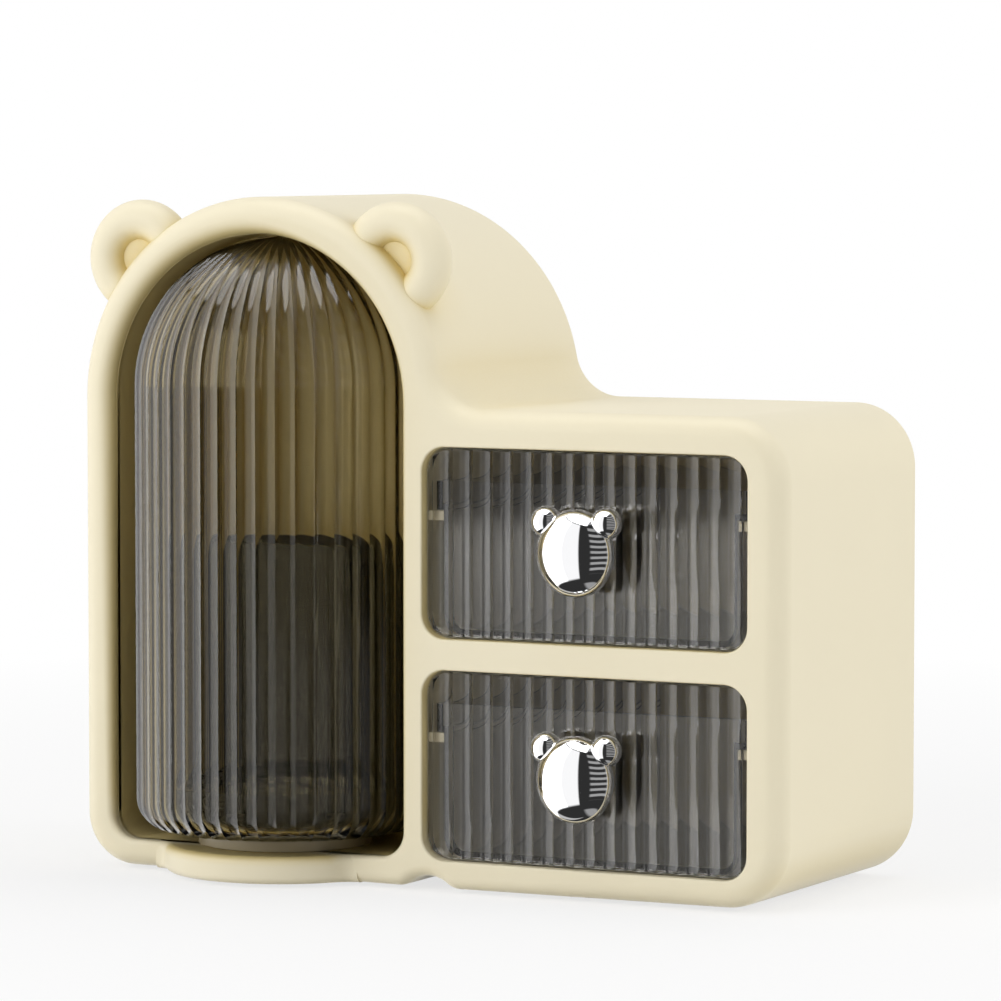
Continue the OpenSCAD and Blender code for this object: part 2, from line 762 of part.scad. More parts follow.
module thrust_washer() {
    in_frame() color("white") translate([arch_x, axis_y, drum_z - thrust_t])
        ring(thrust_r, post_r + hole_gap, thrust_t - 0.1);
}

module retaining_washer() {
    in_frame() color(steel) translate([arch_x, axis_y, base_top + axial_play])
        ring(retainer_r, screw_r + hole_gap, retainer_t);
}

module hub_screw() {
    in_frame() color(steel)
        translate([arch_x, axis_y, base_top + axial_play + retainer_t + head_h])
            screw(hub_screw_len);
}

// ---------- rack ----------

module pen_rack() {
    in_frame() color(rack_smoke) translate([arch_x, axis_y, 0]) {
        // Foot ring, floor and curved wall on the open side
        translate([0, 0, base_top])
            ring(rack_foot_r, rack_foot_r - rack_wall, rack_foot_h + eps);
        translate([0, 0, rack_z]) cylinder(r = rack_r, h = rack_wall);
        intersection() {
            translate([0, 0, rack_floor - eps]) ring(rack_r, rack_r - rack_wall, rack_h + eps);
            wall_outline();
        }
    }
}

// Front view of the curved wall: its rim rounds down to both ends
module wall_outline() {
    end_x = rack_r * sin(open_half);
    end_r = wall_end_r;
    h = rack_h + 1;
    along_y(rack_r * cos(open_half), rack_r + 1) translate([0, rack_floor - 1]) {
        translate([-end_x, 0]) square([2 * end_x, h - end_r]);
        translate([end_r - end_x, 0]) square([2 * (end_x - end_r), h]);
        for (x = [end_r - end_x, end_x - end_r]) translate([x, h - end_r]) circle(end_r);
    }
}

module rack_partition() {
    wall_y = sqrt(pow(rack_r - rack_wall, 2) - pow(partition_w / 2, 2));
    depth = wall_y - partition_back - rack_gap;
    h = rack_h - 0.2;
    in_frame() color(rack_smoke) translate([arch_x, partition_y, rack_floor]) {
        // Plate with rounded top corners
        along_y(0, rack_wall) translate([-partition_w / 2, 0]) {
            square([partition_w, h - partition_r]);
            translate([partition_r, 0]) square([partition_w - 2 * partition_r, h]);
            for (x = [partition_r, partition_w - partition_r])
                translate([x, h - partition_r]) circle(partition_r);
        }
        // Side walls back to the curved wall, with a ledge for the shelf
        for (side = [-1, 1]) {
            translate([side * (partition_w - rack_wall) / 2 - rack_wall / 2, 0, 0])
                cube([rack_wall, depth, h - partition_r]);
            translate([side * (partition_w / 2 - rack_wall - ledge / 2) - ledge / 2, rack_wall,
                       rack_h - tray_depth - rack_wall - ledge]) cube([ledge, depth - 8, ledge]);
        }
    }
}

module rack_shelf() {
    half = partition_w / 2 - rack_wall - rack_gap;
    in_frame() color(rack_smoke) translate([arch_x, axis_y, shelf_top - rack_wall])
        intersection() {
            cylinder(r = rack_r - rack_wall - rack_gap, h = rack_wall);
            translate([-half, partition_back + rack_wall + rack_gap, -1])
                cube([2 * half, rack_r, rack_wall + 2]);
        }
}

// ---------- drawers ----------

module drawer_front(z) {
    crest_r = (pow(panel_reed_h, 2) + pow(reed_pitch / 2, 2)) / (2 * panel_reed_h);
    reeds = ceil(panel_w / reed_pitch / 2);
    in_frame() color(smoke) translate([bay_x, 0, z]) difference() {
        union() {
            intersection() {
                along_y(panel_recess - 1, panel_back + 1) translate([-panel_w / 2, panel_gap])
                    round_rect(panel_w, panel_h, bay_r - panel_gap);
                linear_extrude(bay_h) {
                    translate([-panel_w, panel_recess + panel_reed_h - eps])
                        square([2 * panel_w, panel_t + eps]);
                    intersection() {
                        for (i = [-reeds:reeds])
                            translate([i * reed_pitch, panel_recess + crest_r]) circle(crest_r);
                        translate([-panel_w, panel_recess])
                            square([2 * panel_w, panel_reed_h]);
                    }
                }
            }
            // Flat seat for the knob
            along_y(panel_recess, panel_back) translate([0, knob_z]) circle(stem_r + 0.8);
        }
        along_y(0, panel_back + 1) translate([0, knob_z]) circle(screw_r + hole_gap);
    }
}

// Section of a tray, drawn in by d; the inner one is open above
module tray_section(d) {
    over = d > 0 ? 1 : 0;
    translate([d - tray_w / 2, d]) round_rect(tray_w - 2 * d, 3 * tray_r, tray_r - d);
    translate([d - tray_w / 2, tray_r]) square([tray_w - 2 * d, tray_h - tray_r + over]);
    translate([d - tray_rim_w / 2, tray_step_z + d])
        square([tray_rim_w - 2 * d, tray_rim_h - d + over]);
}

module drawer_tray(z) {
    in_frame() color(smoke) translate([bay_x, 0, z + tray_lift]) difference() {
        along_y(panel_back, panel_back + tray_len) tray_section(0);
        along_y(panel_back + tray_wall, panel_back + tray_len - tray_wall)
            tray_section(tray_wall);
        along_y(0, panel_back + tray_wall + 1) translate([0, knob_z - tray_lift])
            circle(screw_r + hole_gap);
    }
}

module knob(z) {
    head_y = panel_recess - knob_stem - knob_t / 2;
    lug_x = knob_r - 1.4;
    lug_z = knob_r - 2.2;
    in_frame() color("silver") translate([bay_x, head_y, z + knob_z]) difference() {
        union() {
            // Lens-shaped head on a round stem
            rotate([-90, 0, 0]) rotate_extrude() polygon(
                [for (a = [-90:9:90]) [abs(a) == 90 ? 0 : knob_r * cos(a), knob_t / 2 * sin(a)]]
            );
            along_y(0, knob_t / 2 + knob_stem) circle(stem_r);
            for (side = [-1, 1]) translate([side * lug_x, 0.6, lug_z]) sphere(lug_r);
        }
        along_y(-2, knob_t) circle(screw_r + thread_gap);
    }
}

module knob_screw(z) {
    in_frame() color(steel)
        translate([bay_x, panel_back + tray_wall + head_h, z + knob_z]) rotate([-90, 0, 0])
            screw(knob_screw_len);
}

module upper_drawer_front() {
    drawer_front(upper_z);
}

module upper_drawer_tray() {
    drawer_tray(upper_z);
}

module upper_knob() {
    knob(upper_z);
}

module upper_knob_screw() {
    knob_screw(upper_z);
}

module lower_drawer_front() {
    drawer_front(lower_z);
}

module lower_drawer_tray() {
    drawer_tray(lower_z);
}

module lower_knob() {
    knob(lower_z);
}

module lower_knob_screw() {
    knob_screw(lower_z);
}

front_housing();
chamber_liner();
drawer_carcass();
rear_cover();
left_ear();
right_ear();
foot_pads();
rear_cover_screws();
bearing_base();
bearing_screws();
thrust_washer();
retaining_washer();
hub_screw();
drum_cover();
drum_base();
cover_screws();
pen_rack();
rack_partition();
rack_shelf();
upper_drawer_front();
upper_drawer_tray();
upper_knob();
upper_knob_screw();
lower_drawer_front();
lower_drawer_tray();
lower_knob();
lower_knob_screw();
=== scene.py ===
"""Surfaces, finishes, light and camera of a rotating desk organizer.

Every piece is worked out in the housing's own frame: x from the middle of the housing, y back from
its front plane, z up from its underside, in metres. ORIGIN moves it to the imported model's frame.
"""

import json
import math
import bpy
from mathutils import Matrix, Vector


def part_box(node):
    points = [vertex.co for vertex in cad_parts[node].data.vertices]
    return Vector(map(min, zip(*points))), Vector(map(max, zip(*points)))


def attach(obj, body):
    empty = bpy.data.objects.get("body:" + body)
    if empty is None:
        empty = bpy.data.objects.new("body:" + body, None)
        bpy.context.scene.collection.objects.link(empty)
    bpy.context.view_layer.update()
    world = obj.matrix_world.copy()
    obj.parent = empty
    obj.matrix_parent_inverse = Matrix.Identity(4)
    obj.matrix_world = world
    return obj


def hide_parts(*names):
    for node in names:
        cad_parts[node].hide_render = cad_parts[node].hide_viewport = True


bl_info = {
    "name": "Rotating desk organizer",
    "version": (1, 0, 0),
    "blender": (4, 5, 0),
    "location": "View3D > Sidebar > Organizer",
    "description": "Builds the visible surfaces of a desk organizer round its packed model",
    "category": "Object",
}

import bmesh
import bpy
import numpy as np
from bpy.props import FloatProperty, FloatVectorProperty, IntProperty, PointerProperty
from bpy.types import Operator, Panel, PropertyGroup
from mathutils import Vector
from mathutils.geometry import delaunay_2d_cdt

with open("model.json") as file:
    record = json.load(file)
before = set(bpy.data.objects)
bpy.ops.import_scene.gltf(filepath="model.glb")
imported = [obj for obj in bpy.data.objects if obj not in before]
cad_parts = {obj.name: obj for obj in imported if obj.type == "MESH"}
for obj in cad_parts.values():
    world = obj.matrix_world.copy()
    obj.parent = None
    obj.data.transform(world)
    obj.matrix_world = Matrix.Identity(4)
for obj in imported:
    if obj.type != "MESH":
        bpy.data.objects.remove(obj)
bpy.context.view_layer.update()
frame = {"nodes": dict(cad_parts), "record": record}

MM = 0.001
QUARTER = math.pi / 2
# Points nearer than this are one
WELD = 1e-6
# Gap left between clear pieces that touch, so that light leaves one before it enters the next
HAIR = 0.05 * MM
# The face's thickness, the depth of the plate that closes the shell behind it, and the chamber's
FACE_T = 3.2 * MM
INNER_FACE_Y = 1.4 * FACE_T
CHAMBER_BACK = 60.0 * MM

SHELL_LO, SHELL_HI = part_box("front_housing")
FRONT_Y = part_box("drawer_carcass")[0].y - FACE_T
ORIGIN = np.array([(SHELL_LO.x + SHELL_HI.x) / 2, FRONT_Y, SHELL_LO.z])
WASHER_LO, WASHER_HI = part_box("thrust_washer")
AXIS_X = (WASHER_LO.x + WASHER_HI.x) / 2 - ORIGIN[0]
AXIS_Y = (WASHER_LO.y + WASHER_HI.y) / 2 - ORIGIN[1]

RECORD = frame["record"]
SLOTS = {row["node"]: row["material_slot"] for row in RECORD["subparts"]}
BODIES = {node: body for body, nodes in RECORD["behaviour"]["bodies"].items() for node in nodes}


# ---------- sizes and colours ----------


def length(name, description, value_mm):
    """A length property with its default in millimetres."""
    return FloatProperty(
        name=name, description=description, default=value_mm * MM, unit="LENGTH", precision=4)


def colour(name, description, value):
    """A linear colour property."""
    return FloatVectorProperty(
        name=name, description=description, default=value, subtype="COLOR", size=3, min=0, max=1)


class HousingSizes(PropertyGroup):
    """Sizes of the cream housing and its openings"""

    block_h: length("Block height", "Height of the drawer block", 124.3)
    tower_r: length("Arch radius", "Outer radius of the tower's arch", 53.6)
    tower_corner_r: length("Tower corner", "Corner radius at the tower's foot", 14)
    block_foot_r: length("Block foot corner", "Corner radius at the block's foot", 17.3)
    block_top_r: length("Block top corner", "Corner radius at the block's top", 16.7)
    valley_r: length("Valley", "Radius of the hollow between tower and block", 13.5)
    edge_r: length("Front edge", "Rounding of the front edge all round", 5.5)
    dip_edge_r: length("Dip edge", "Rounding of the front edge at the dip", 3.2)
    back_edge_r: length("Back edge", "Rounding of the shell's rear edge", 0.8)
    shell_wall: length("Shell wall", "Wall of the outer shell", 2.6)
    dip_h: length("Dip height", "Height of the dip in the underside", 3)
    dip_half_w: length("Dip width", "Half width of the dip in the underside", 9)
    arch_rim: length("Arch rim", "Width of the rim round the arched opening", 9.7)
    sill_h: length("Sill", "Height of the sill under all openings", 7.3)
    arch_corner_r: length("Opening corner", "Corner radius at the foot of the arched opening", 7)
    arch_edge_r: length("Opening edge", "Rounding of the arched opening on its right", 1.4)
    arch_soft_r: length("Soft opening edge", "Rounding of the arched opening on its left", 3.9)
    stile_w: length("Stile", "Stile between the arched opening and the drawers", 5.8)
    side_rim: length("Side rim", "Rim right of the drawers", 10.1)
    top_rim: length("Top rim", "Rim above the drawers", 9.7)
    mid_rail: length("Middle rail", "Rail between the two drawers", 8.1)
    bay_r: length("Bay corner", "Corner radius of the drawer openings", 6.5)
    bay_edge_r: length("Bay edge", "Rounding of the drawer openings' front edges", 0.6)
    liner_wall: length("Liner wall", "Wall of the chamber liner", 2.2)
    liner_fillet: length("Liner fillet", "Fillet between the chamber's wall and its back", 2.5)
    sill_r: length("Bowed sill", "Radius of the sill that bows forward under the drum", 32)
    sill_fillet: length("Sill fillet", "Fillet on both sides of the bowed sill", 5)
    sill_edge_r: length("Sill edge", "Rounding of the bowed sill's edges", 2)


class DrumSizes(PropertyGroup):
    """Sizes of the turning pen drum"""

    crown_gap: length("Crown gap", "Gap between the dome's crown and the chamber roof", 0.6)
    flutes_full: IntProperty(
        name="Flutes on a turn", description="Flutes on a full turn", default=48)
    flutes_cover: IntProperty(
        name="Flutes kept", description="Flutes that the cover keeps", default=27)
    flute_depth: length("Flute depth", "Depth of a flute between its ridges", 0.7)
    wall: length("Cover wall", "Wall of the cover under its flutes", 1.8)
    foot_r: length("Foot rounding", "Rounding of the cover's bottom edge", 8.5)


class DrawerSizes(PropertyGroup):
    """Sizes of the drawers' fluted fronts"""

    gap: length("Panel gap", "Gap round a drawer's front panel", 0.5)
    flute_pitch: length("Flute pitch", "Pitch of the panel's flutes", 5.85)
    flute_depth: length("Flute depth", "Depth of the panel's flutes", 0.9)
    rim_r: length("Panel edge", "Rounding of the panel's outline", 0.5)


class KnobSizes(PropertyGroup):
    """Sizes of the chrome knobs"""

    head_w: length("Head width", "Half the width of a knob's head", 10.8)
    head_h: length("Head height", "Half the height of a knob's head", 11.3)
    dome: length("Dome", "Rise of the head's front over its rim", 7)
    back: length("Back", "Depth of the head's back under its rim", 2.4)
    rim_y: length("Rim", "Distance of the head's rim before the housing's front", 3.2)
    stem_r: length("Stem radius", "Radius of a knob's stem", 4.5)
    lug_r: length("Lug radius", "Radius of a knob's two round lugs", 4.1)
    lug_x: length("Lug offset", "Distance of a lug from the knob's middle plane", 8.5)
    lug_z: length("Lug height", "Height of the lugs over the head's middle", 7.8)


class EarSizes(PropertyGroup):
    """Sizes of the ring-shaped ears"""

    ear_r: length("Ear radius", "Outer radius of an ear", 15.4)
    ear_t: length("Ear thickness", "Thickness of the ear's ring", 10.8)
    web_t: length("Web thickness", "Thickness of the web that closes the ring", 3)
    angle: FloatProperty(name="Direction", description="Direction from the arch's centre",
                         default=math.radians(44), subtype="ANGLE")


class Finishes(PropertyGroup):
    """Colours of the organizer's materials"""

    cream: colour("Cream plastic", "Moulded housing and ears", (0.86, 0.785, 0.585))
    # Painted shade: the darker, warmer cream that ambient occlusion paints into hollows in place of
    # bounced light
    hollow: colour("Cream in hollows", "Tone of the cream deep in its hollows", (0.74, 0.60, 0.27))
    smoke: colour("Smoky plastic", "Tint of the drum cover", (0.58, 0.50, 0.22))
    drawer: colour("Drawer plastic", "Tint of the drawers", (0.50, 0.46, 0.38))
    dark: colour("Dark plastic", "Tint of the rack and turning base", (0.40, 0.37, 0.32))
    chrome: colour("Chrome", "Knobs", (0.93, 0.93, 0.94))
    steel: colour("Steel", "Screws and washers", (0.56, 0.57, 0.58))
    rubber: colour("Rubber", "Foot pads", (0.05, 0.05, 0.05))
    # Painted shade: the bearing plate, off-white acetal of its own, is given the dark tan of the
    # shade under the drum
    acetal_shade: colour("Acetal", "Bearing plate", (0.45, 0.38, 0.24))


def sizes(name):
    """The property group of this scene with that name."""
    return getattr(bpy.context.scene, "organizer_" + name)


def packed_box(node):
    """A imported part's lowest and highest corners in the housing's own frame."""
    lo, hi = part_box(node)
    return np.array(lo) - ORIGIN, np.array(hi) - ORIGIN


# ---------- outlines ----------


def arc(cx, cz, radius, a0, a1, n):
    """Points on a circular arc: centre plus radius times (cos a, sin a), with a in n even steps."""
    a = np.radians(np.linspace(a0, a1, n + 1))
    return np.column_stack([cx + radius * np.cos(a), cz + radius * np.sin(a)])


def housing_places(s):
    """Places that the outlines share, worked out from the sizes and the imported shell's box."""
    half_w = (SHELL_HI.x - SHELL_LO.x) / 2
    arch_z = SHELL_HI.z - SHELL_LO.z - s.tower_r
    arch_x = s.tower_r - half_w
    open_r = s.tower_r - s.arch_rim
    valley_z = s.block_h + s.valley_r
    valley_x = arch_x + math.sqrt((s.tower_r + s.valley_r) ** 2 - (valley_z - arch_z) ** 2)
    bay_x0 = arch_x + open_r + s.stile_w
    bay_x1 = half_w - s.side_rim
    bay_h = (s.block_h - s.top_rim - s.mid_rail - s.sill_h) / 2
    dip_turn = 2 * math.atan2(s.dip_h, s.dip_half_w)
    dip_sum = s.dip_half_w / math.sin(dip_turn)
    # The dip's outer arcs stay wider than the front edge's rounding
    dip_out = max(s.edge_r + 0.5 * MM, 0.4 * dip_sum)
    return {
        "half_w": half_w, "arch_x": arch_x, "arch_z": arch_z, "open_r": open_r,
        "valley_x": valley_x, "valley_z": valley_z,
        "valley_a": math.degrees(math.atan2(valley_z - arch_z, valley_x - arch_x)),
        "bay_x0": bay_x0, "bay_x1": bay_x1, "bay_h": bay_h,
        "bay_z": (s.sill_h, s.sill_h + bay_h + s.mid_rail),
        "dip_x": arch_x + open_r + s.stile_w + MM, "dip_turn": math.degrees(dip_turn),
        "dip_out": dip_out, "dip_in": dip_sum - dip_out,
    }


def housing_outline(s, d):
    """Front view of the housing, drawn in by d: corner arcs, the dip, the block's corners, the
    valley's hollow arc and the tower's arch, anticlockwise."""
    p = housing_places(s)
    turn, right, left = p["dip_turn"], p["half_w"], -p["half_w"]
    return np.vstack([
        arc(left + s.tower_corner_r, s.tower_corner_r, s.tower_corner_r - d, 180, 270, 24),
        arc(p["dip_x"] - s.dip_half_w, p["dip_out"], p["dip_out"] - d, 270, 270 + turn, 10),
        arc(p["dip_x"], s.dip_h - p["dip_in"], p["dip_in"] + d, 90 + turn, 90 - turn, 14)[1:-1],
        arc(p["dip_x"] + s.dip_half_w, p["dip_out"], p["dip_out"] - d, 270 - turn, 270, 10),
        arc(right - s.block_foot_r, s.block_foot_r, s.block_foot_r - d, 270, 360, 28),
        arc(right - s.block_top_r, s.block_h - s.block_top_r, s.block_top_r - d, 0, 90, 28),
        arc(p["valley_x"], p["valley_z"], s.valley_r + d, 270, 180 + p["valley_a"], 24)[:-1],
        arc(p["arch_x"], p["arch_z"], s.tower_r - d, p["valley_a"], 180, 110),
    ])


def arch_outline(s, d):
    """Front view of the arched opening, drawn in by d: two foot corners and a half circle."""
    p = housing_places(s)
    x, r = p["arch_x"], s.arch_corner_r
    return np.vstack([
        arc(x - p["open_r"] + r, s.sill_h + r, r - d, 180, 270, 16),
        arc(x + p["open_r"] - r, s.sill_h + r, r - d, 270, 360, 16),
        arc(x, p["arch_z"], p["open_r"] - d, 0, 180, 110),
    ])


def bay_outline(s, z, d):
    """Front view of a drawer opening whose floor is at z, drawn in by d: four corner arcs."""
    p = housing_places(s)
    r = s.bay_r - d
    left, right = p["bay_x0"] + d + r, p["bay_x1"] - d - r
    low, high = z + d + r, z + p["bay_h"] - d - r
    return np.vstack([
        arc(left, low, r, 180, 270, 14), arc(right, low, r, 270, 360, 14),
        arc(right, high, r, 0, 90, 14), arc(left, high, r, 90, 180, 14),
    ])


def sill_outline(s, d):
    """Plan of the bowed sill, drawn in by d: a disc round the drum's axis, filleted into the
    front."""
    a = math.degrees(math.asin((AXIS_Y + s.sill_fillet) / (s.sill_r + s.sill_fillet)))
    fx = (s.sill_r + s.sill_fillet) * math.cos(math.radians(a))
    return np.vstack([
        [[AXIS_X - fx, FACE_T]],
        arc(AXIS_X - fx, -s.sill_fillet, s.sill_fillet + d, 90, a, 12),
        arc(AXIS_X, AXIS_Y, s.sill_r - d, 180 + a, 360 - a, 72)[1:-1],
        arc(AXIS_X + fx, -s.sill_fillet, s.sill_fillet + d, 180 - a, 90, 12),
        [[AXIS_X + fx, FACE_T]],
    ])


def upright(points, y):
    """An xz outline at depth y."""
    return np.column_stack([points[:, 0], np.full(len(points), y), points[:, 1]])


def level(points, z):
    """An xy outline at height z."""
    return np.column_stack([points, np.full(len(points), z)])


def quarter(radius, n):
    """Steps of a quarter-round edge as (depth, draw-in) = radius times (1 - cos a, 1 - sin a)."""
    a = np.linspace(0, QUARTER, n + 1)
    return np.column_stack([radius * (1 - np.cos(a)), radius * (1 - np.sin(a))])


def rolled_edge(outline, inward, radius, n):
    """Rings of a quarter-round front edge whose radius may change along its outline: each point is
    drawn in by radius times (1 - sin a) and lies radius times (1 - cos a) deep."""
    rings = []
    for a in np.linspace(0, QUARTER, n + 1):
        ring = outline + inward * radius * (1 - math.sin(a))
        rings.append(np.column_stack([ring[:, :1], radius * (1 - math.cos(a)), ring[:, 1:]]))
    return rings


def round_turn(n):
    """n even steps of a full turn."""
    return np.linspace(0, 2 * math.pi, n, endpoint=False)


def eased(t):
    """0 up to t = 0 and 1 from t = 1 on, with 3 t^2 - 2 t^3 between them."""
    t = np.clip(t, 0, 1)
    return t * t * (3 - 2 * t)


# ---------- meshes ----------


def inside(points, loop):
    """Whether each point lies inside a closed loop: a ray to the right crosses it an odd number of
    times."""
    a, b = loop, np.roll(loop, -1, axis=0)
    px, pz = points[:, :1], points[:, 1:]
    spans = (a[:, 1] > pz) != (b[:, 1] > pz)
    rise = np.where(b[:, 1] == a[:, 1], 1, b[:, 1] - a[:, 1])
    cross = a[:, 0] + (pz - a[:, 1]) / rise * (b[:, 0] - a[:, 0])
    return (spans & (px < cross)).sum(axis=1) % 2 == 1


def plate(outer, holes=()):
    """Triangles that fill a flat outline and leave out its holes: a constrained Delaunay mesh, of
    which the triangles with their centres in the plate stay."""
    loops = [outer, *holes]
    edges, first = [], 0
    for loop in loops:
        n = len(loop)
        edges += [(first + i, first + (i + 1) % n) for i in range(n)]
        first += n
    flat = [Vector(point) for point in (np.vstack(loops) / MM).tolist()]
    points, _, triangles, *_ = delaunay_2d_cdt(flat, edges, [], 0, 1e-5)
    points, triangles = np.array(points) * MM, np.array(triangles)
    centres = points[triangles].mean(axis=1)
    keep = inside(centres, outer)
    for hole in holes:
        keep &= ~inside(centres, hole)
    return points, triangles[keep]


class Surface:
    """Collects the grids and plates of one piece and makes its mesh."""

    def __init__(self):
        self.points = []
        self.faces = []
        self.count = 0

    def add(self, points, faces):
        """Adds points with the faces that join them."""
        self.points.append(points)
        self.faces += (np.asarray(faces) + self.count).tolist()
        self.count += len(points)

    def grid(self, points, closed=False):
        """Adds a grid of points, rows by columns; closed joins the last column to the first."""
        rows, cols = points.shape[:2]
        j, i = np.mgrid[:rows - 1, :cols if closed else cols - 1]
        k = (i + 1) % cols
        low, high = j * cols, (j + 1) * cols
        quads = np.stack([low + i, low + k, high + k, high + i], axis=-1)
        self.add(points.reshape(-1, 3), quads.reshape(-1, 4))

    def loft(self, rings):
        """Adds the wall through a list of closed rings."""
        self.grid(np.stack(rings), closed=True)

    def upright_plate(self, y, outer, holes=()):
        """Adds a flat plate at depth y."""
        points, triangles = plate(outer, holes)
        self.add(upright(points, y), triangles)

    def level_plate(self, z, outer):
        """Adds a flat plate at height z."""
        points, triangles = plate(outer)
        self.add(level(points, z), triangles)

    def border(self, front, back):
        """Joins two grids along their first and last columns and rows."""
        for side in (np.s_[:, 0], np.s_[:, -1], -1, 0):
            self.grid(np.stack([front[side], back[side]]))

    def lathe(self, centre, profile, n, tall=1):
        """Adds a shape turned about y: profile holds (radius, y) from pole to pole. It is drawn out
        upwards by tall."""
        a = round_turn(n)
        r, y = profile[:, :1], np.repeat(profile[:, 1:], n, axis=1)
        shape = np.stack([r * np.cos(a), y, tall * r * np.sin(a)], axis=-1)
        self.grid(shape + centre, closed=True)

    def piece(self, name, body, slot, replaces, sharp_deg=38, look=None):
        """Makes the mesh: doubles merged, faces turned outwards, smooth but for edges sharper than
        sharp_deg. Its finish is the slot's own, unless look names another."""
        mesh = bpy.data.meshes.new(name)
        mesh.from_pydata((np.vstack(self.points) + ORIGIN).tolist(), [], self.faces)
        work = bmesh.new()
        work.from_mesh(mesh)
        bmesh.ops.remove_doubles(work, verts=work.verts, dist=WELD)
        bmesh.ops.dissolve_degenerate(work, edges=work.edges, dist=WELD / 10)
        bmesh.ops.recalc_face_normals(work, faces=work.faces)
        work.to_mesh(mesh)
        work.free()
        made = smooth_object(name, mesh, sharp_deg)
        even_normals(made)
        dress(made, body, look or slot, replaces)


def smooth_object(name, mesh, sharp_deg):
    """Links an object with this mesh, smooth but for edges over sharp_deg."""
    mesh.polygons.foreach_set("use_smooth", np.ones(len(mesh.polygons), bool))
    mesh.set_sharp_from_angle(angle=math.radians(sharp_deg))
    made = bpy.data.objects.new(name, mesh)
    bpy.context.scene.collection.objects.link(made)
    return made


def even_normals(made):
    """Lets flat faces keep their shading beside rounded edges."""
    made.modifiers.new("even_normals", "WEIGHTED_NORMAL").keep_sharp = True


def dress(made, body, look, replaces):
    """Gives a piece its finish, the body it rides on and the parts it stands for."""
    made.data.materials.clear()
    made.data.materials.append(finish(look))
    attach(made, body)
    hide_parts(*replaces)


# ---------- materials ----------


class Value:
    """A shader socket that takes part in Python arithmetic; each operator adds one Math node."""

    def __init__(self, shader, socket):
        self.shader = shader
        self.socket = socket

    def _math(self, operation, *values):
        return self.shader.node("ShaderNodeMath", {"operation": operation}, values)

    def __add__(self, other):
        return self._math("ADD", self, other)

    __radd__ = __add__

    def __sub__(self, other):
        return self._math("SUBTRACT", self, other)

    def __rsub__(self, other):
        return self._math("SUBTRACT", other, self)

    def __mul__(self, other):
        return self._math("MULTIPLY", self, other)

    __rmul__ = __mul__

    def __truediv__(self, other):
        return self._math("DIVIDE", self, other)

    def sin(self):
        """The value's sine."""
        return self._math("SINE", self)

    def turn_to(self, other):
        """The angle whose tangent is the value over other, from -pi to pi."""
        return self._math("ARCTAN2", self, other)

    def clamp(self):
        """The value held between 0 and 1."""
        return self.shader.node("ShaderNodeClamp", {}, (self,))

    def above(self, edge, soft):
        """0 under the edge and 1 over it, with a soft ramp so wide between them."""
        return ((self - edge) / soft + 0.5).clamp()


class Nodes:
    """A node tree whose nodes are added by one method."""

    def __init__(self, tree):
        self.tree = tree

    def node(self, kind, settings, values, output=0):
        """Adds a node of that kind, makes its settings, then sets or links its inputs in order, or
        by name or number from a dict. Gives the wanted output."""
        made = self.tree.nodes.new(kind)
        for key, value in settings.items():
            setattr(made, key, value)
        for key, value in values.items() if isinstance(values, dict) else enumerate(values):
            self.put(made, key, value)
        return Value(self, made.outputs[output] if made.outputs else None)

    def put(self, node, key, value):
        """Sets or links one input of a node."""
        if isinstance(value, Value):
            self.tree.links.new(value.socket, node.inputs[key])
        else:
            node.inputs[key].default_value = value


class Shader(Nodes):
    """A material with a principled surface."""

    def __init__(self, name):
        self.material = bpy.data.materials.new(name + "_finish")
        self.material.use_nodes = True
        super().__init__(self.material.node_tree)
        self.surface = self.tree.nodes["Principled BSDF"]
        self.output = self.tree.nodes["Material Output"]
        self.place = self.node("ShaderNodeTexCoord", {}, (), "Object")

    def noise(self, scale, detail=3, stretch=(1, 1, 1)):
        """Noise from 0 to 1, with so many waves a metre, drawn out along an axis by stretch."""
        place = self.node("ShaderNodeMapping", {}, {"Vector": self.place, "Scale": stretch})
        values = {"Vector": place, "Scale": scale, "Detail": detail}
        return self.node("ShaderNodeTexNoise", {}, values, "Fac")

    def blend(self, fac, a, b):
        """A colour between a and b. The Mix node's colour sockets share their names with others, so
        they are taken by number."""
        factor_in, a_in, b_in, colour_out = 0, 6, 7, 2
        values = {factor_in: fac, a_in: a, b_in: b}
        return self.node("ShaderNodeMix", {"data_type": "RGBA"}, values, colour_out)

    def tones(self, fac, base, low, high):
        """A colour scaled by low to high along fac."""
        return self.blend(fac, shade(base, low), shade(base, high))

    def bump(self, height, strength, distance):
        """A normal that follows a height field."""
        values = {"Strength": strength, "Distance": distance, "Height": height}
        return self.node("ShaderNodeBump", {}, values)

    def set(self, **values):
        """Sets or links inputs of the surface; an underscore in a name stands for a space."""
        for key, value in values.items():
            self.put(self.surface, key.replace("_", " "), value)


def shade(base, factor):
    """A colour with alpha 1, scaled by factor."""
    return (*[min(1.0, channel * factor) for channel in base], 1)


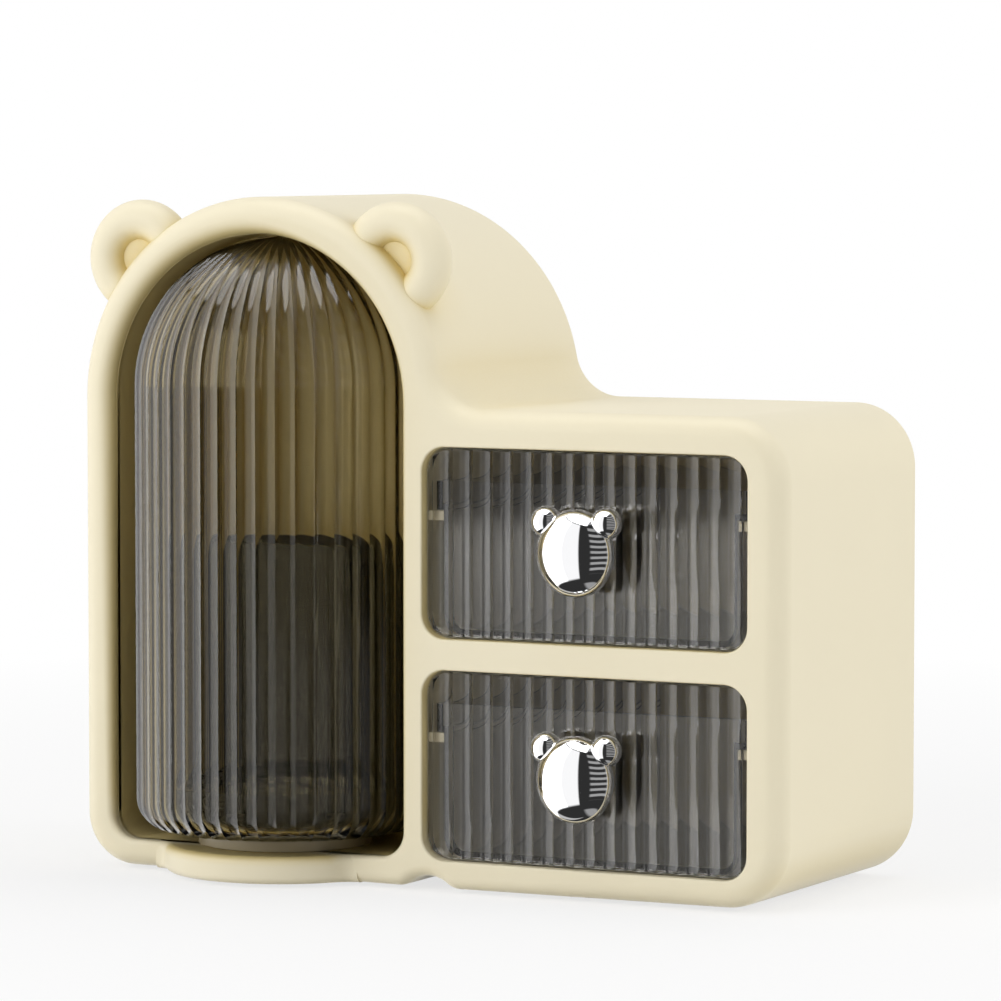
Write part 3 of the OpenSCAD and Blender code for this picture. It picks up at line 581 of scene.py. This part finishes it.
def cream_plastic(name, hollow, foot=0):
    """Satin moulded plastic: faint clouds in its colour, a fine grain and soft flow marks. Painted
    shade:
    where ambient occlusion finds it enclosed, its colour deepens to the tone hollow, as light does
    that bounces between walls of it. With foot 1 the housing's foot keeps its plain colour."""
    m = Shader(name)
    base = sizes("finishes").cream
    clouds = m.noise(22, 4)
    grain = m.noise(2600, 2)
    flow = m.noise(9, 2, (1, 1, 4))
    reach, half_open, soft = 20 * MM, 0.74, 0.44
    # Painted shade: ambient occlusion within reach says how enclosed each point is, and enclosed
    # points get the darker tone
    openness = m.node("ShaderNodeAmbientOcclusion", {"samples": 6}, {"Distance": reach}, "AO")
    depth, height = (m.node("ShaderNodeSeparateXYZ", {}, (m.place,), axis) for axis in "YZ")
    # Near the floor the painted shade is lifted, since the floor encloses no corner: only the bowed
    # sill's top, under the drum, keeps it
    behind_sill = depth.above(FRONT_Y - 2 * MM, 4 * MM)
    under_sill = 1 - height.above(6.5 * MM, 2 * MM)
    shaded_sill_top = 1 - (behind_sill + under_sill).clamp()
    low = (1 - height.above(12 * MM, 16 * MM)) * (1 - shaded_sill_top)
    unshaded = (openness.above(half_open, soft) + foot * low).clamp()
    m.set(
        Base_Color=m.blend(unshaded, shade(hollow, 1), m.tones(clouds, base, 0.985, 1.015)),
        Roughness=0.40 + 0.10 * flow + 0.04 * grain,
        Normal=m.bump(grain, 0.10, 0.00006),
        Specular_IOR_Level=0.45,
    )
    return m.material


def clear_plastic(name, tint, depth, gloss):
    """Transparent plastic whose tint deepens with the way through it, at density depth a metre:
    polished, with a faint ripple left by the mould."""
    m = Shader(name)
    ripple = m.noise(38, 2, (1, 1, 0.35))
    haze = m.noise(300, 3)
    m.set(
        Base_Color=m.blend(ripple, (0.95, 0.94, 0.92, 1), (0.99, 0.985, 0.97, 1)),
        Roughness=0.012 + 0.03 * haze,
        Normal=m.bump(ripple, 0.10, 0.00008),
        IOR=1.49,
        Specular_IOR_Level=gloss,
        Transmission_Weight=1.0,
    )
    body = m.node("ShaderNodeVolumeAbsorption", {}, {"Color": (*tint, 1), "Density": depth})
    m.put(m.output, "Volume", body)
    return m.material


def grained(name, base, scale, tones, rough, metallic=0.0, stretch=(1, 1, 1), relief=0):
    """A finish with one grain of scale waves a metre, which moves its tone between two factors, its
    roughness up from a base by a swing, and its normal by relief."""
    m = Shader(name)
    grain = m.noise(scale, 3, stretch)
    m.set(
        Base_Color=m.tones(grain, base, *tones),
        Metallic=metallic,
        Roughness=rough[0] + rough[1] * grain,
    )
    if relief:
        m.set(Normal=m.bump(grain, relief, 0.1 * MM))
    return m.material


# How each finish is made: its maker, its colour among the finishes, and the maker's other values
FINISHES = {
    # The cream and chamber finishes paint shade into hollows in the tone hollow; the sleeve's,
    # plain cream, paints none
    "cream_plastic": (cream_plastic, "hollow", 1),
    "chamber_shaded_plastic": (cream_plastic, "hollow"),
    "sleeve_plastic": (cream_plastic, "cream"),
    "smoky_clear": (clear_plastic, "smoke", 480, 0.4),
    "drawer_clear": (clear_plastic, "drawer", 80, 0.5),
    "tray_clear": (clear_plastic, "drawer", 60, 0.1),
    "dark_clear": (clear_plastic, "dark", 3000, 0.2),
    "chrome": (grained, "chrome", 500, (0.98, 1.0), (0.025, 0.03), 1.0),
    "steel": (grained, "steel", 900, (0.85, 1.1), (0.28, 0.18), 1.0, (1, 1, 6), 0.2),
    "rubber": (grained, "rubber", 1800, (0.8, 1.4), (0.75, 0.15), 0.0, (1, 1, 1), 0.3),
    # The bearing plate's tone is painted shade: the dark tan of the shade under the drum
    "bearing_plastic": (grained, "acetal_shade", 120, (0.96, 1.02), (0.35, 0.1)),
}


def finish(name):
    """The material of that name, made when it is first asked for."""
    made = bpy.data.materials.get(name + "_finish")
    if made is None:
        maker, tone, *rest = FINISHES[name]
        made = maker(name, getattr(sizes("finishes"), tone), *rest)
    return made


# ---------- pieces ----------


class ORGANIZER_OT_housing(Operator):
    """Build the cream housing: rounded front, drawer windows, arched opening and bowed sill"""

    bl_idname = "organizer.housing"
    bl_label = "Housing"

    def execute(self, context):
        s = sizes("housing")
        p = housing_places(s)
        depth = SHELL_HI.y - FRONT_Y
        shell = Surface()
        # Outer wall from the front edge's rounding, which narrows at the dip, to the rear edge's,
        # then the wall's inside
        rim = housing_outline(s, 0)
        inward = (housing_outline(s, MM) - rim) / MM
        narrowing, dip_top = 14 * MM, 20 * MM
        off_dip = (abs(rim[:, 0] - p["dip_x"]) - s.dip_half_w) / narrowing
        at_dip = eased(1 - off_dip) * (rim[:, 1] < dip_top)
        rim_r = (s.edge_r - (s.edge_r - s.dip_edge_r) * at_dip)[:, None]
        rings = rolled_edge(rim, inward, rim_r, 12)
        for y in np.linspace(s.edge_r, depth - s.back_edge_r, 6)[1:]:
            rings.append(upright(rim, y))
        for y, d in quarter(s.back_edge_r, 4)[::-1][1:]:
            rings.append(upright(housing_outline(s, d), depth - y))
        inner = housing_outline(s, s.shell_wall)
        rings += [upright(inner, depth), upright(inner, INNER_FACE_Y)]
        shell.loft(rings)
        # Walls of the three openings, rounded at their front edges. The arched one is rounded more
        # towards its left, and less again down to the sill
        arch = arch_outline(s, 0)
        fade_x, fade_w, fade_h = p["arch_x"] + 26 * MM, 34 * MM, 24 * MM
        soft = eased((fade_x - arch[:, 0]) / fade_w)
        soft = soft * np.clip((arch[:, 1] - s.sill_h) / fade_h, 0, 1)
        arch_r = s.arch_edge_r + (s.arch_soft_r - s.arch_edge_r) * soft
        cuts = [(arch, arch_outline(s, -MM), arch_r)]
        cuts += [(bay_outline(s, z, 0), bay_outline(s, z, -MM), s.bay_edge_r) for z in p["bay_z"]]
        front, back = [], []
        for edge, wider, r in cuts:
            outward, r = (wider - edge) / MM, np.broadcast_to(r, len(edge))[:, None]
            shell.loft(rolled_edge(edge, outward, r, 10) + [upright(edge, INNER_FACE_Y)])
            front.append(edge + outward * r)
            back.append(edge)
        shell.upright_plate(0, rim + inward * rim_r, front)
        shell.upright_plate(INNER_FACE_Y, inner, back)
        # Bowed sill
        edge = quarter(s.sill_edge_r, 8)
        rings = [level(sill_outline(s, d), s.sill_h - y) for y, d in edge]
        rings += [level(sill_outline(s, d), y) for y, d in edge[::-1]]
        shell.loft(rings)
        shell.level_plate(s.sill_h, sill_outline(s, s.sill_edge_r))
        shell.level_plate(0, sill_outline(s, s.sill_edge_r))
        shell.piece("housing_shell", "housing", "cream_plastic", ["front_housing"])
        return {"FINISHED"}


class ORGANIZER_OT_chamber(Operator):
    """Build the arched wall, floor and back of the drum's chamber"""

    bl_idname = "organizer.chamber"
    bl_label = "Drum chamber"

    def execute(self, context):
        s = sizes("housing")
        inner, outer = arch_outline(s, 0), arch_outline(s, -s.liner_wall)
        back = CHAMBER_BACK + s.liner_wall
        wall = Surface()
        rings = [upright(inner, y) for y in np.linspace(FACE_T, CHAMBER_BACK - s.liner_fillet, 6)]
        for y, d in quarter(s.liner_fillet, 8)[::-1][1:]:
            rings.append(upright(arch_outline(s, d), CHAMBER_BACK - y))
        wall.loft(rings)
        wall.upright_plate(CHAMBER_BACK, arch_outline(s, s.liner_fillet))
        wall.loft([upright(outer, FACE_T), upright(outer, back)])
        wall.upright_plate(back, outer)
        wall.upright_plate(FACE_T, outer, [inner])
        # The chamber's finish keeps its painted shade all the way down to its floor
        wall.piece("chamber_wall", "housing", "cream_plastic", ["chamber_liner"],
                   look="chamber_shaded_plastic")
        return {"FINISHED"}


class ORGANIZER_OT_ears(Operator):
    """Build the two ring-shaped ears on the arch"""

    bl_idname = "organizer.ears"
    bl_label = "Ears"

    def execute(self, context):
        for side, name in ((-1, "left_ear"), (1, "right_ear")):
            build_ear(side, name)
        return {"FINISHED"}


def build_ear(side, name):
    """A ring with a thin web across it: points of a torus, and a lens between its inner sides.
    Points that lie deep in the arch are drawn out to the space behind the arch's wall."""
    s, h = sizes("ears"), sizes("housing")
    p = housing_places(h)
    lo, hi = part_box(name)
    mid_y = (lo.y + hi.y) / 2 - ORIGIN[1]
    cx = p["arch_x"] + side * h.tower_r * math.cos(s.angle)
    cz = p["arch_z"] + h.tower_r * math.sin(s.angle)
    tube = s.ear_t / 2
    ring_r = s.ear_r - tube
    around = round_turn(128)[:, None]
    across = round_turn(48)
    r = ring_r + tube * np.cos(across)
    y = mid_y + tube * np.sin(across) + 0 * around
    torus = np.stack([cx + r * np.cos(around), y, cz + r * np.sin(around)], axis=-1)
    ear = Surface()
    torus = np.concatenate([torus, torus[:1]])
    ear.grid(drawn_out(torus, p), closed=True)
    # Web: a disc whose two sides part towards its rim
    share, swell = np.linspace(0, 1, 12), 1.2 * MM
    half = s.web_t / 2 + swell * share ** 3
    r = ring_r * np.concatenate([share, share[::-1]])[:, None]
    turn = round_turn(96)
    y = mid_y + np.concatenate([half, -half[::-1]])[:, None] + 0 * turn
    web = np.stack([cx + r * np.cos(turn), y, cz + r * np.sin(turn)], axis=-1)
    ear.grid(drawn_out(web, p), closed=True)
    ear.piece(name + "_ring", "housing", "cream_plastic", [name], sharp_deg=50)


def drawn_out(points, p):
    """Points nearer the arch's axis than the space behind its wall, moved out to that space."""
    behind_wall = 3.6 * MM
    hidden_r = p["open_r"] + behind_wall
    x, z = points[..., 0] - p["arch_x"], points[..., 2] - p["arch_z"]
    r = np.sqrt(x * x + z * z)
    k = np.maximum(1, hidden_r / np.maximum(r, MM))
    moved = points.copy()
    moved[..., 0] = p["arch_x"] + x * k
    moved[..., 2] = p["arch_z"] + z * k
    return moved


class ORGANIZER_OT_drum_cover(Operator):
    """Build the fluted, domed cover of the drum: hollows between ridges that run up to the crown"""

    bl_idname = "organizer.drum_cover"
    bl_label = "Drum cover"

    def execute(self, context):
        s = sizes("drum")
        p = housing_places(sizes("housing"))
        lo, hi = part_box("drum_cover")
        drum_r = (hi.x - lo.x) / 2
        foot_z = lo.z - ORIGIN[2]
        dome_z = p["arch_z"] + p["open_r"] - s.crown_gap - drum_r
        cover_in = s.flute_depth + s.wall - HAIR
        flange_r, columns, near_crown = 24 * MM, 12, 89.4
        half = s.flutes_cover * math.pi / s.flutes_full
        turn = np.linspace(-half, half, s.flutes_cover * columns + 1)[None, :]
        across = (turn + half) / (2 * half) * s.flutes_cover
        f = across - np.floor(across) - 0.5
        sag = 1 - 4 * f * f

        # Angles down the dome, which stops short of its crown's point, and round the foot
        dome = np.radians(np.linspace(near_crown, 0, 40))[:, None]
        foot = np.radians(np.linspace(0, 90, 14))[:, None]

        def shell(inset):
            """The dome, the wall, the foot and its flange, drawn in from the ridges by inset, which
            takes the share of the flutes' depth at each row: the root of the angle's cosine."""
            top, low, flat = (inset(share) for share in (
                np.sqrt(np.cos(dome)), np.sqrt(np.abs(np.cos(foot))), np.zeros((1, 1))))
            r = np.vstack([
                (drum_r - top) * np.cos(dome),
                drum_r - s.foot_r + (s.foot_r - low) * np.cos(foot),
                flange_r + 0 * flat,
            ])
            z = np.vstack([
                dome_z + (drum_r - top) * np.sin(dome),
                foot_z + s.foot_r - (s.foot_r - low) * np.sin(foot),
                foot_z + flat,
            ])
            return np.stack([AXIS_X + r * np.sin(turn), AXIS_Y - r * np.cos(turn), z], axis=-1)

        outer = shell(lambda share: s.flute_depth * sag * share)
        inner = shell(lambda share: cover_in + 0 * sag * share)
        cover = Surface()
        cover.grid(outer)
        cover.grid(inner)
        cover.border(outer, inner)
        cover.piece("drum_cover_shell", "drum", "smoky_clear", ["drum_cover"])
        return {"FINISHED"}


class ORGANIZER_OT_drawer_fronts(Operator):
    """Build the two fluted drawer fronts"""

    bl_idname = "organizer.drawer_fronts"
    bl_label = "Drawer fronts"

    def execute(self, context):
        for name in ("upper", "lower"):
            build_drawer_front(name)
        return {"FINISHED"}


def build_drawer_front(name):
    """A fluted panel: each column runs from the outline's foot to its head, its face is hollowed
    between the ridges by a parabola across the pitch, and its rim is rounded over."""
    s, h = sizes("drawers"), sizes("housing")
    lo, hi = packed_box(name + "_drawer_front")
    corner = h.bay_r - s.gap
    mid_x, columns = (lo[0] + hi[0]) / 2, 14
    flutes = round((hi[0] - lo[0]) / 2 / s.flute_pitch) + 1
    into_corner = corner * (1 - np.cos(np.linspace(0, QUARTER, 20)))
    x = np.unique(np.concatenate([
        mid_x + s.flute_pitch * np.linspace(-flutes, flutes, 2 * flutes * columns + 1),
        lo[0] + into_corner, hi[0] - into_corner,
    ]))
    hairline = 1e-9
    x = x[(x >= lo[0] - hairline) & (x <= hi[0] + hairline)]
    near = np.minimum(x - lo[0], hi[0] - x)
    bend = np.sqrt(np.maximum(corner ** 2 - (corner - near) ** 2, 0))
    cut = np.where(near < corner, corner - bend, 0)
    # Rows lie closer together in the end strips, where the rim is rounded over
    strip = 0.04
    closer = 0.5 * (1 - np.cos(np.linspace(0, QUARTER, 9))) * strip
    rows = np.concatenate([closer, np.linspace(strip, 1 - strip, 20), 1 - closer[::-1]])[:, None]
    z = lo[2] + cut + rows * (hi[2] - lo[2] - 2 * cut)
    f = (x - mid_x) / s.flute_pitch
    f = f - np.round(f)
    sag = s.flute_depth * (1 - 4 * f * f)
    rim = np.minimum(np.minimum(z - lo[2] - cut, hi[2] - cut - z), near)
    over = np.maximum(0, s.rim_r - rim)
    rounding = s.rim_r - np.sqrt(np.maximum(s.rim_r ** 2 - over ** 2, 0))
    wide = 0 * z + x
    front = np.stack([wide, lo[1] + sag + rounding, z], axis=-1)
    back = np.stack([wide, 0 * z + hi[1] - HAIR, z], axis=-1)
    panel = Surface()
    panel.grid(front)
    panel.grid(back)
    panel.border(front, back)
    panel.piece(name + "_front_panel", name + "_drawer", "smoky_clear", [name + "_drawer_front"],
                sharp_deg=30, look="drawer_clear")


class ORGANIZER_OT_knobs(Operator):
    """Build the two chrome knobs with their round lugs"""

    bl_idname = "organizer.knobs"
    bl_label = "Knobs"

    def execute(self, context):
        s = sizes("knobs")
        packed_head_r, lug_back = 10 * MM, 0.2 * MM
        a = np.linspace(-QUARTER, QUARTER, 97)
        rise = np.where(a < 0, s.dome, s.back) * np.sin(a)
        head = np.column_stack([s.head_w * np.cos(a), rise])
        lug = s.lug_r * np.column_stack([np.cos(a[::3]), np.sin(a[::3])])
        for name in ("upper", "lower"):
            lo, hi = packed_box(name + "_knob")
            centre = np.array([(lo[0] + hi[0]) / 2, -s.rim_y, lo[2] + packed_head_r])
            knob = Surface()
            knob.lathe(centre, head, 128, s.head_h / s.head_w)
            stem_l = s.rim_y + hi[1]
            stem = np.array([[0, 0], [s.stem_r, 0], [s.stem_r, stem_l], [0, stem_l]])
            knob.lathe(centre, stem, 64)
            for side in (-1, 1):
                knob.lathe(centre + np.array([side * s.lug_x, lug_back, s.lug_z]), lug, 64)
            knob.piece(name + "_knob_body", name + "_drawer", "chrome", [name + "_knob"])
        return {"FINISHED"}


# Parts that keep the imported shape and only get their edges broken, with the width of the break
BROKEN_EDGES = {
    "upper_drawer_tray": 0.35, "lower_drawer_tray": 0.35, "pen_rack": 0.35, "rack_partition": 0.4,
    "rack_shelf": 0.3, "drum_base": 0.3, "rear_cover": 0.3, "drawer_carcass": 0.3, "foot_pads": 0.5,
    "bearing_base": 0.3,
}


class ORGANIZER_OT_broken_edges(Operator):
    """Break the edges of the trays, rack, turning base, sleeves, rear cover and pads"""

    bl_idname = "organizer.broken_edges"
    bl_label = "Broken edges"

    def execute(self, context):
        for name, width in BROKEN_EDGES.items():
            break_edges(name, width * MM)
        return {"FINISHED"}


# Parts whose finish isn't the plain one of their slot
OWN_LOOKS = {
    "upper_drawer_tray": "tray_clear",
    "lower_drawer_tray": "tray_clear",
    "drawer_carcass": "sleeve_plastic",
}


def break_edges(name, width):
    """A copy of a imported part, its flat facets joined, whose sharp edges get a narrow bevel. A
    clear one is drawn in by half a hair's gap on all sides."""
    mesh = frame["nodes"][name].data.copy()
    mesh.name = name + "_edged"
    work = bmesh.new()
    work.from_mesh(mesh)
    bmesh.ops.remove_doubles(work, verts=work.verts, dist=WELD)
    flat = math.radians(0.5)
    bmesh.ops.dissolve_limit(work, angle_limit=flat, verts=work.verts, edges=work.edges)
    work.to_mesh(mesh)
    work.free()
    made = smooth_object(name + "_edged", mesh, 35)
    bevel = made.modifiers.new("edges", "BEVEL")
    bevel.width = width
    bevel.segments = 2
    bevel.limit_method = "ANGLE"
    bevel.angle_limit = math.radians(40)
    bevel.miter_outer = "MITER_ARC"
    even_normals(made)
    slot = SLOTS[name]
    if slot.endswith("_clear"):
        shrink = made.modifiers.new("hair", "DISPLACE")
        shrink.strength = -HAIR / 2
        shrink.mid_level = 0
    dress(made, BODIES[name], OWN_LOOKS.get(name, slot), [name])


class ORGANIZER_OT_screws(Operator):
    """Build the rear cover's screws with cross recesses in their heads"""

    bl_idname = "organizer.screws"
    bl_label = "Rear screws"

    def execute(self, context):
        h = sizes("housing")
        p = housing_places(h)
        lo, hi = packed_box("rear_cover_screws")
        spacing, low, rise, boss_r, bite = 28 * MM, 24 * MM, 30 * MM, 4.2 * MM, 0.3 * MM
        reach = h.valley_r + h.shell_wall + boss_r - bite
        turn = math.radians(230)
        places = [
            (p["arch_x"] - spacing, low),
            (p["arch_x"] + spacing, low),
            (p["arch_x"], p["arch_z"] + rise),
            (p["valley_x"] + reach * math.cos(turn), p["valley_z"] + reach * math.sin(turn)),
        ]
        screws = Surface()
        for x, z in places:
            recessed_screw(screws, (x, hi[1], z), hi[1] - lo[1])
        screws.piece("rear_screws", "housing", "steel", ["rear_cover_screws"], sharp_deg=30)
        return {"FINISHED"}


def recessed_screw(surface, head, length_m):
    """A turned screw whose head's top is pressed in by a cross: its depth falls from the middle to
    the ends of the cross's arms and is nothing between them."""
    head_r, head_h, edge_r = 2.6 * MM, 1.6 * MM, 0.35 * MM
    shank_r, tip_r, tip_h = 1.3 * MM, 0.78 * MM, 0.7 * MM
    arm, half_arm, deep = 1.5 * MM, 0.42 * MM, 1.0 * MM
    turn = round_turn(96)
    top = np.linspace(0, head_r - edge_r, 30)
    a = np.linspace(0.3, QUARTER, 5)
    below = [head_r, shank_r, shank_r, tip_r, 0]
    r = np.concatenate([top, head_r - edge_r * (1 - np.sin(a)), below])[:, None]
    below = [head_h, head_h, length_m - tip_h, length_m, length_m]
    down = np.concatenate([0 * top, edge_r * (1 - np.cos(a)), below])[:, None] + 0 * turn
    u, v = r * np.cos(turn), r * np.sin(turn)
    along, over = np.maximum(abs(u), abs(v)), np.minimum(abs(u), abs(v))
    on_top = np.arange(len(r))[:, None] < len(top)
    pressed = (over < half_arm) & (along < arm) & on_top
    down = down + np.where(pressed, deep * (1 - 0.5 * along / arm), 0)
    grid = np.stack([head[0] + u, head[1] - down, head[2] + v], axis=-1)
    surface.grid(grid, closed=True)


class ORGANIZER_OT_carried_over(Operator):
    """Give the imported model's own parts that stay in view their finishes"""

    bl_idname = "organizer.carried_over"
    bl_label = "Carried-over parts"

    def execute(self, context):
        for name, node in frame["nodes"].items():
            node.data.materials.clear()
            node.data.materials.append(finish(SLOTS[name]))
        return {"FINISHED"}


# ---------- stage ----------


# Name, place, target, width and height in metres, and power in watts of each soft light
LAMPS = (
    ("key", (-0.55, -1.05, 0.55), (0, 0, 0.08), 0.8, 0.9, 8.6),
    ("fill", (1.10, 0.12, 0.40), (0, 0, 0.08), 0.7, 0.9, 4.9),
    ("top", (0.1, 0.1, 1.2), (0, 0, 0.05), 0.9, 0.9, 4.0),
)


class ORGANIZER_OT_stage(Operator):
    """Set up the floor, soft lights, white surroundings and camera"""

    bl_idname = "organizer.stage"
    bl_label = "Stage"

    def execute(self, context):
        context.scene.view_settings.view_transform = "Standard"
        build_floor()
        build_world()
        for lamp in LAMPS:
            softbox(*lamp)
        build_camera()
        return {"FINISHED"}


def build_floor():
    """A wide disc under the pads. The camera sees most of it as glowing white, and less so near the
    object, where it keeps a soft shadow. Mirrors don't see it."""
    surface = Surface()
    a = round_turn(96)
    radii = np.array([0, 0.3, 0.6, 1.2, 3.0])[:, None]
    rings = np.stack([radii * np.cos(a), radii * np.sin(a), 0 * radii * a], axis=-1)
    surface.grid(rings, closed=True)
    mesh = bpy.data.meshes.new("floor")
    mesh.from_pydata(np.vstack(surface.points).tolist(), [], surface.faces)
    mesh.validate()
    floor = bpy.data.objects.new("floor", mesh)
    bpy.context.scene.collection.objects.link(floor)
    floor.visible_glossy = False
    m = Shader("floor")
    m.set(Base_Color=(0.9, 0.9, 0.9, 1), Roughness=0.9, Specular_IOR_Level=0.1)
    camera_ray = m.node("ShaderNodeLightPath", {}, (), "Is Camera Ray")
    glow = m.node("ShaderNodeEmission", {}, {"Color": (1, 1, 1, 1), "Strength": 1.0})
    reach = m.node("ShaderNodeVectorMath", {"operation": "LENGTH"}, (m.place,), "Value")
    near_r, ramp, near_share = 0.12, 0.5, 0.72
    far = ((reach - near_r) / ramp).clamp()
    share = camera_ray * (near_share + (1 - near_share) * far)
    lit = Value(m, m.surface.outputs[0])
    mixed = m.node("ShaderNodeMixShader", {}, (share, lit, glow))
    m.put(m.output, "Surface", mixed)
    floor.data.materials.append(m.material)


def build_world():
    """The studio round the object. The camera sees a white backdrop, clear plastic a pale one, and
    matt surfaces a pale room that is dimmer in front. Mirrors see a white wall from straight ahead
    to the left with a brighter window in it and a strip at its end, a dark gap right of it, a
    slatted blind beside that, a bright ceiling in front and a pale patch of ground on the right."""
    world = bpy.data.worlds.new("studio")
    bpy.context.scene.world = world
    world.use_nodes = True
    world.node_tree.nodes.clear()
    room = Nodes(world.node_tree)
    look = room.node("ShaderNodeTexCoord", {}, (), "Generated")
    x, y, z = (room.node("ShaderNodeSeparateXYZ", {}, (look,), axis) for axis in "XYZ")
    # Angle from straight ahead of the object, rising to its left, and the angles that it passes
    turn = (0 - x).turn_to(0 - y)
    blind_end, wall_start, window, strip_start, strip_end = (
        math.radians(a) for a in (-30, -2, 32, 88, 112))
    # The backdrop and what lies round it, each 1 in its place and 0 elsewhere
    backdrop = y.above(0.15, 0.3) * z.above(-0.5, 0.2)
    in_front = 1 - backdrop
    wall = turn.above(wall_start, 0.05) * in_front * z.above(-0.72, 0.05)
    wall = wall * (1 - z.above(0.84, 0.03)) * (1 + 1.3 * turn.above(window, 0.08))
    strip = turn.above(strip_start, 0.08) * (1 - turn.above(strip_end, 0.08))
    blind = (1 - turn.above(blind_end, 0.1)) * in_front * z.above(-0.6, 0.1)
    slats = blind * (z * 35).sin().above(0.2, 0.5)
    ceiling = z.above(0.87, 0.03) * (1 - y.above(0.12, 0.1)) * (1 - x.above(0.25, 0.1))
    ground = (1 - z.above(-0.88, 0.03)) * x.above(0.15, 0.1)
    # The light that each kind of ray meets
    mirrored = (0.03 + wall + 0.5 * strip + 0.35 * slats
                + 0.8 * backdrop + 4.5 * ceiling + 0.3 * ground)
    matt = 0.36 * (1 + 0.6 * y).clamp() + 0.10 * z.clamp()
    through = 0.85 + 0.15 * backdrop
    glossy, clear, camera = (
        room.node("ShaderNodeLightPath", {}, (), f"Is {ray} Ray")
        for ray in ("Glossy", "Transmission", "Camera"))
    strength = matt + glossy * (mirrored - matt)
    strength = strength + clear * (through - strength)
    strength = strength + camera * (1 - strength)
    sky = room.node("ShaderNodeBackground", {}, {"Color": (1, 1, 1, 1), "Strength": strength})
    room.node("ShaderNodeOutputWorld", {}, {"Surface": sky})


def softbox(name, place, target, width, height, power):
    """A rectangular soft light that looks at a target."""
    data = bpy.data.lights.new(name, "AREA")
    data.shape = "RECTANGLE"
    data.size = width
    data.size_y = height
    data.energy = power
    lamp = bpy.data.objects.new(name, data)
    lamp.location = place
    lamp.rotation_euler = (Vector(target) - Vector(place)).to_track_quat("-Z", "Y").to_euler()
    lamp.visible_camera = False
    lamp.visible_glossy = False
    bpy.context.scene.collection.objects.link(lamp)


def build_camera():
    """The photograph's camera: a long lens, a little above the object and to its right."""
    yaw, pitch, distance = math.radians(27.35), math.radians(3.917), 1.350
    aim = Vector(ORIGIN) + Vector((23.47 * MM, 0, 101.4 * MM))
    ahead = math.cos(pitch)
    forward = Vector((-math.sin(yaw) * ahead, math.cos(yaw) * ahead, -math.sin(pitch)))
    data = bpy.data.cameras.new("camera")
    data.lens = 189.77
    data.sensor_width = 36
    data.clip_start = 0.05
    data.clip_end = 20
    camera = bpy.data.objects.new("camera", data)
    camera.location = aim - distance * forward
    camera.rotation_euler = forward.to_track_quat("-Z", "Y").to_euler()
    bpy.context.scene.collection.objects.link(camera)
    bpy.context.scene.camera = camera


GROUPS = {
    "housing": HousingSizes,
    "drum": DrumSizes,
    "drawers": DrawerSizes,
    "knobs": KnobSizes,
    "ears": EarSizes,
    "finishes": Finishes,
}
STEPS = (
    ORGANIZER_OT_carried_over,
    ORGANIZER_OT_housing,
    ORGANIZER_OT_chamber,
    ORGANIZER_OT_ears,
    ORGANIZER_OT_drum_cover,
    ORGANIZER_OT_drawer_fronts,
    ORGANIZER_OT_knobs,
    ORGANIZER_OT_broken_edges,
    ORGANIZER_OT_screws,
    ORGANIZER_OT_stage,
)


class ORGANIZER_PT_panel(Panel):
    """Lists the organizer's pieces and sizes"""

    bl_label = "Organizer"
    bl_idname = "ORGANIZER_PT_panel"
    bl_space_type = "VIEW_3D"
    bl_region_type = "UI"
    bl_category = "Organizer"

    def draw(self, context):
        column = self.layout.column()
        for step in STEPS:
            column.operator(step.bl_idname)
        for name, group in GROUPS.items():
            box = column.box()
            box.label(text=name.capitalize())
            for key in group.__annotations__:
                box.prop(sizes(name), key)


CLASSES = (*GROUPS.values(), *STEPS, ORGANIZER_PT_panel)


def register():
    """Registers the classes and hangs the property groups on the scene."""
    for cls in CLASSES:
        bpy.utils.register_class(cls)
    for name, group in GROUPS.items():
        setattr(bpy.types.Scene, "organizer_" + name, PointerProperty(type=group))


def unregister():
    """Takes the property groups and classes away."""
    for name in GROUPS:
        delattr(bpy.types.Scene, "organizer_" + name)
    for cls in reversed(CLASSES):
        bpy.utils.unregister_class(cls)


def main():
    """Builds every piece."""
    register()
    for step in STEPS:
        group, name = step.bl_idname.split(".")
        getattr(getattr(bpy.ops, group), name)()


if __name__ == "__main__":
    main()
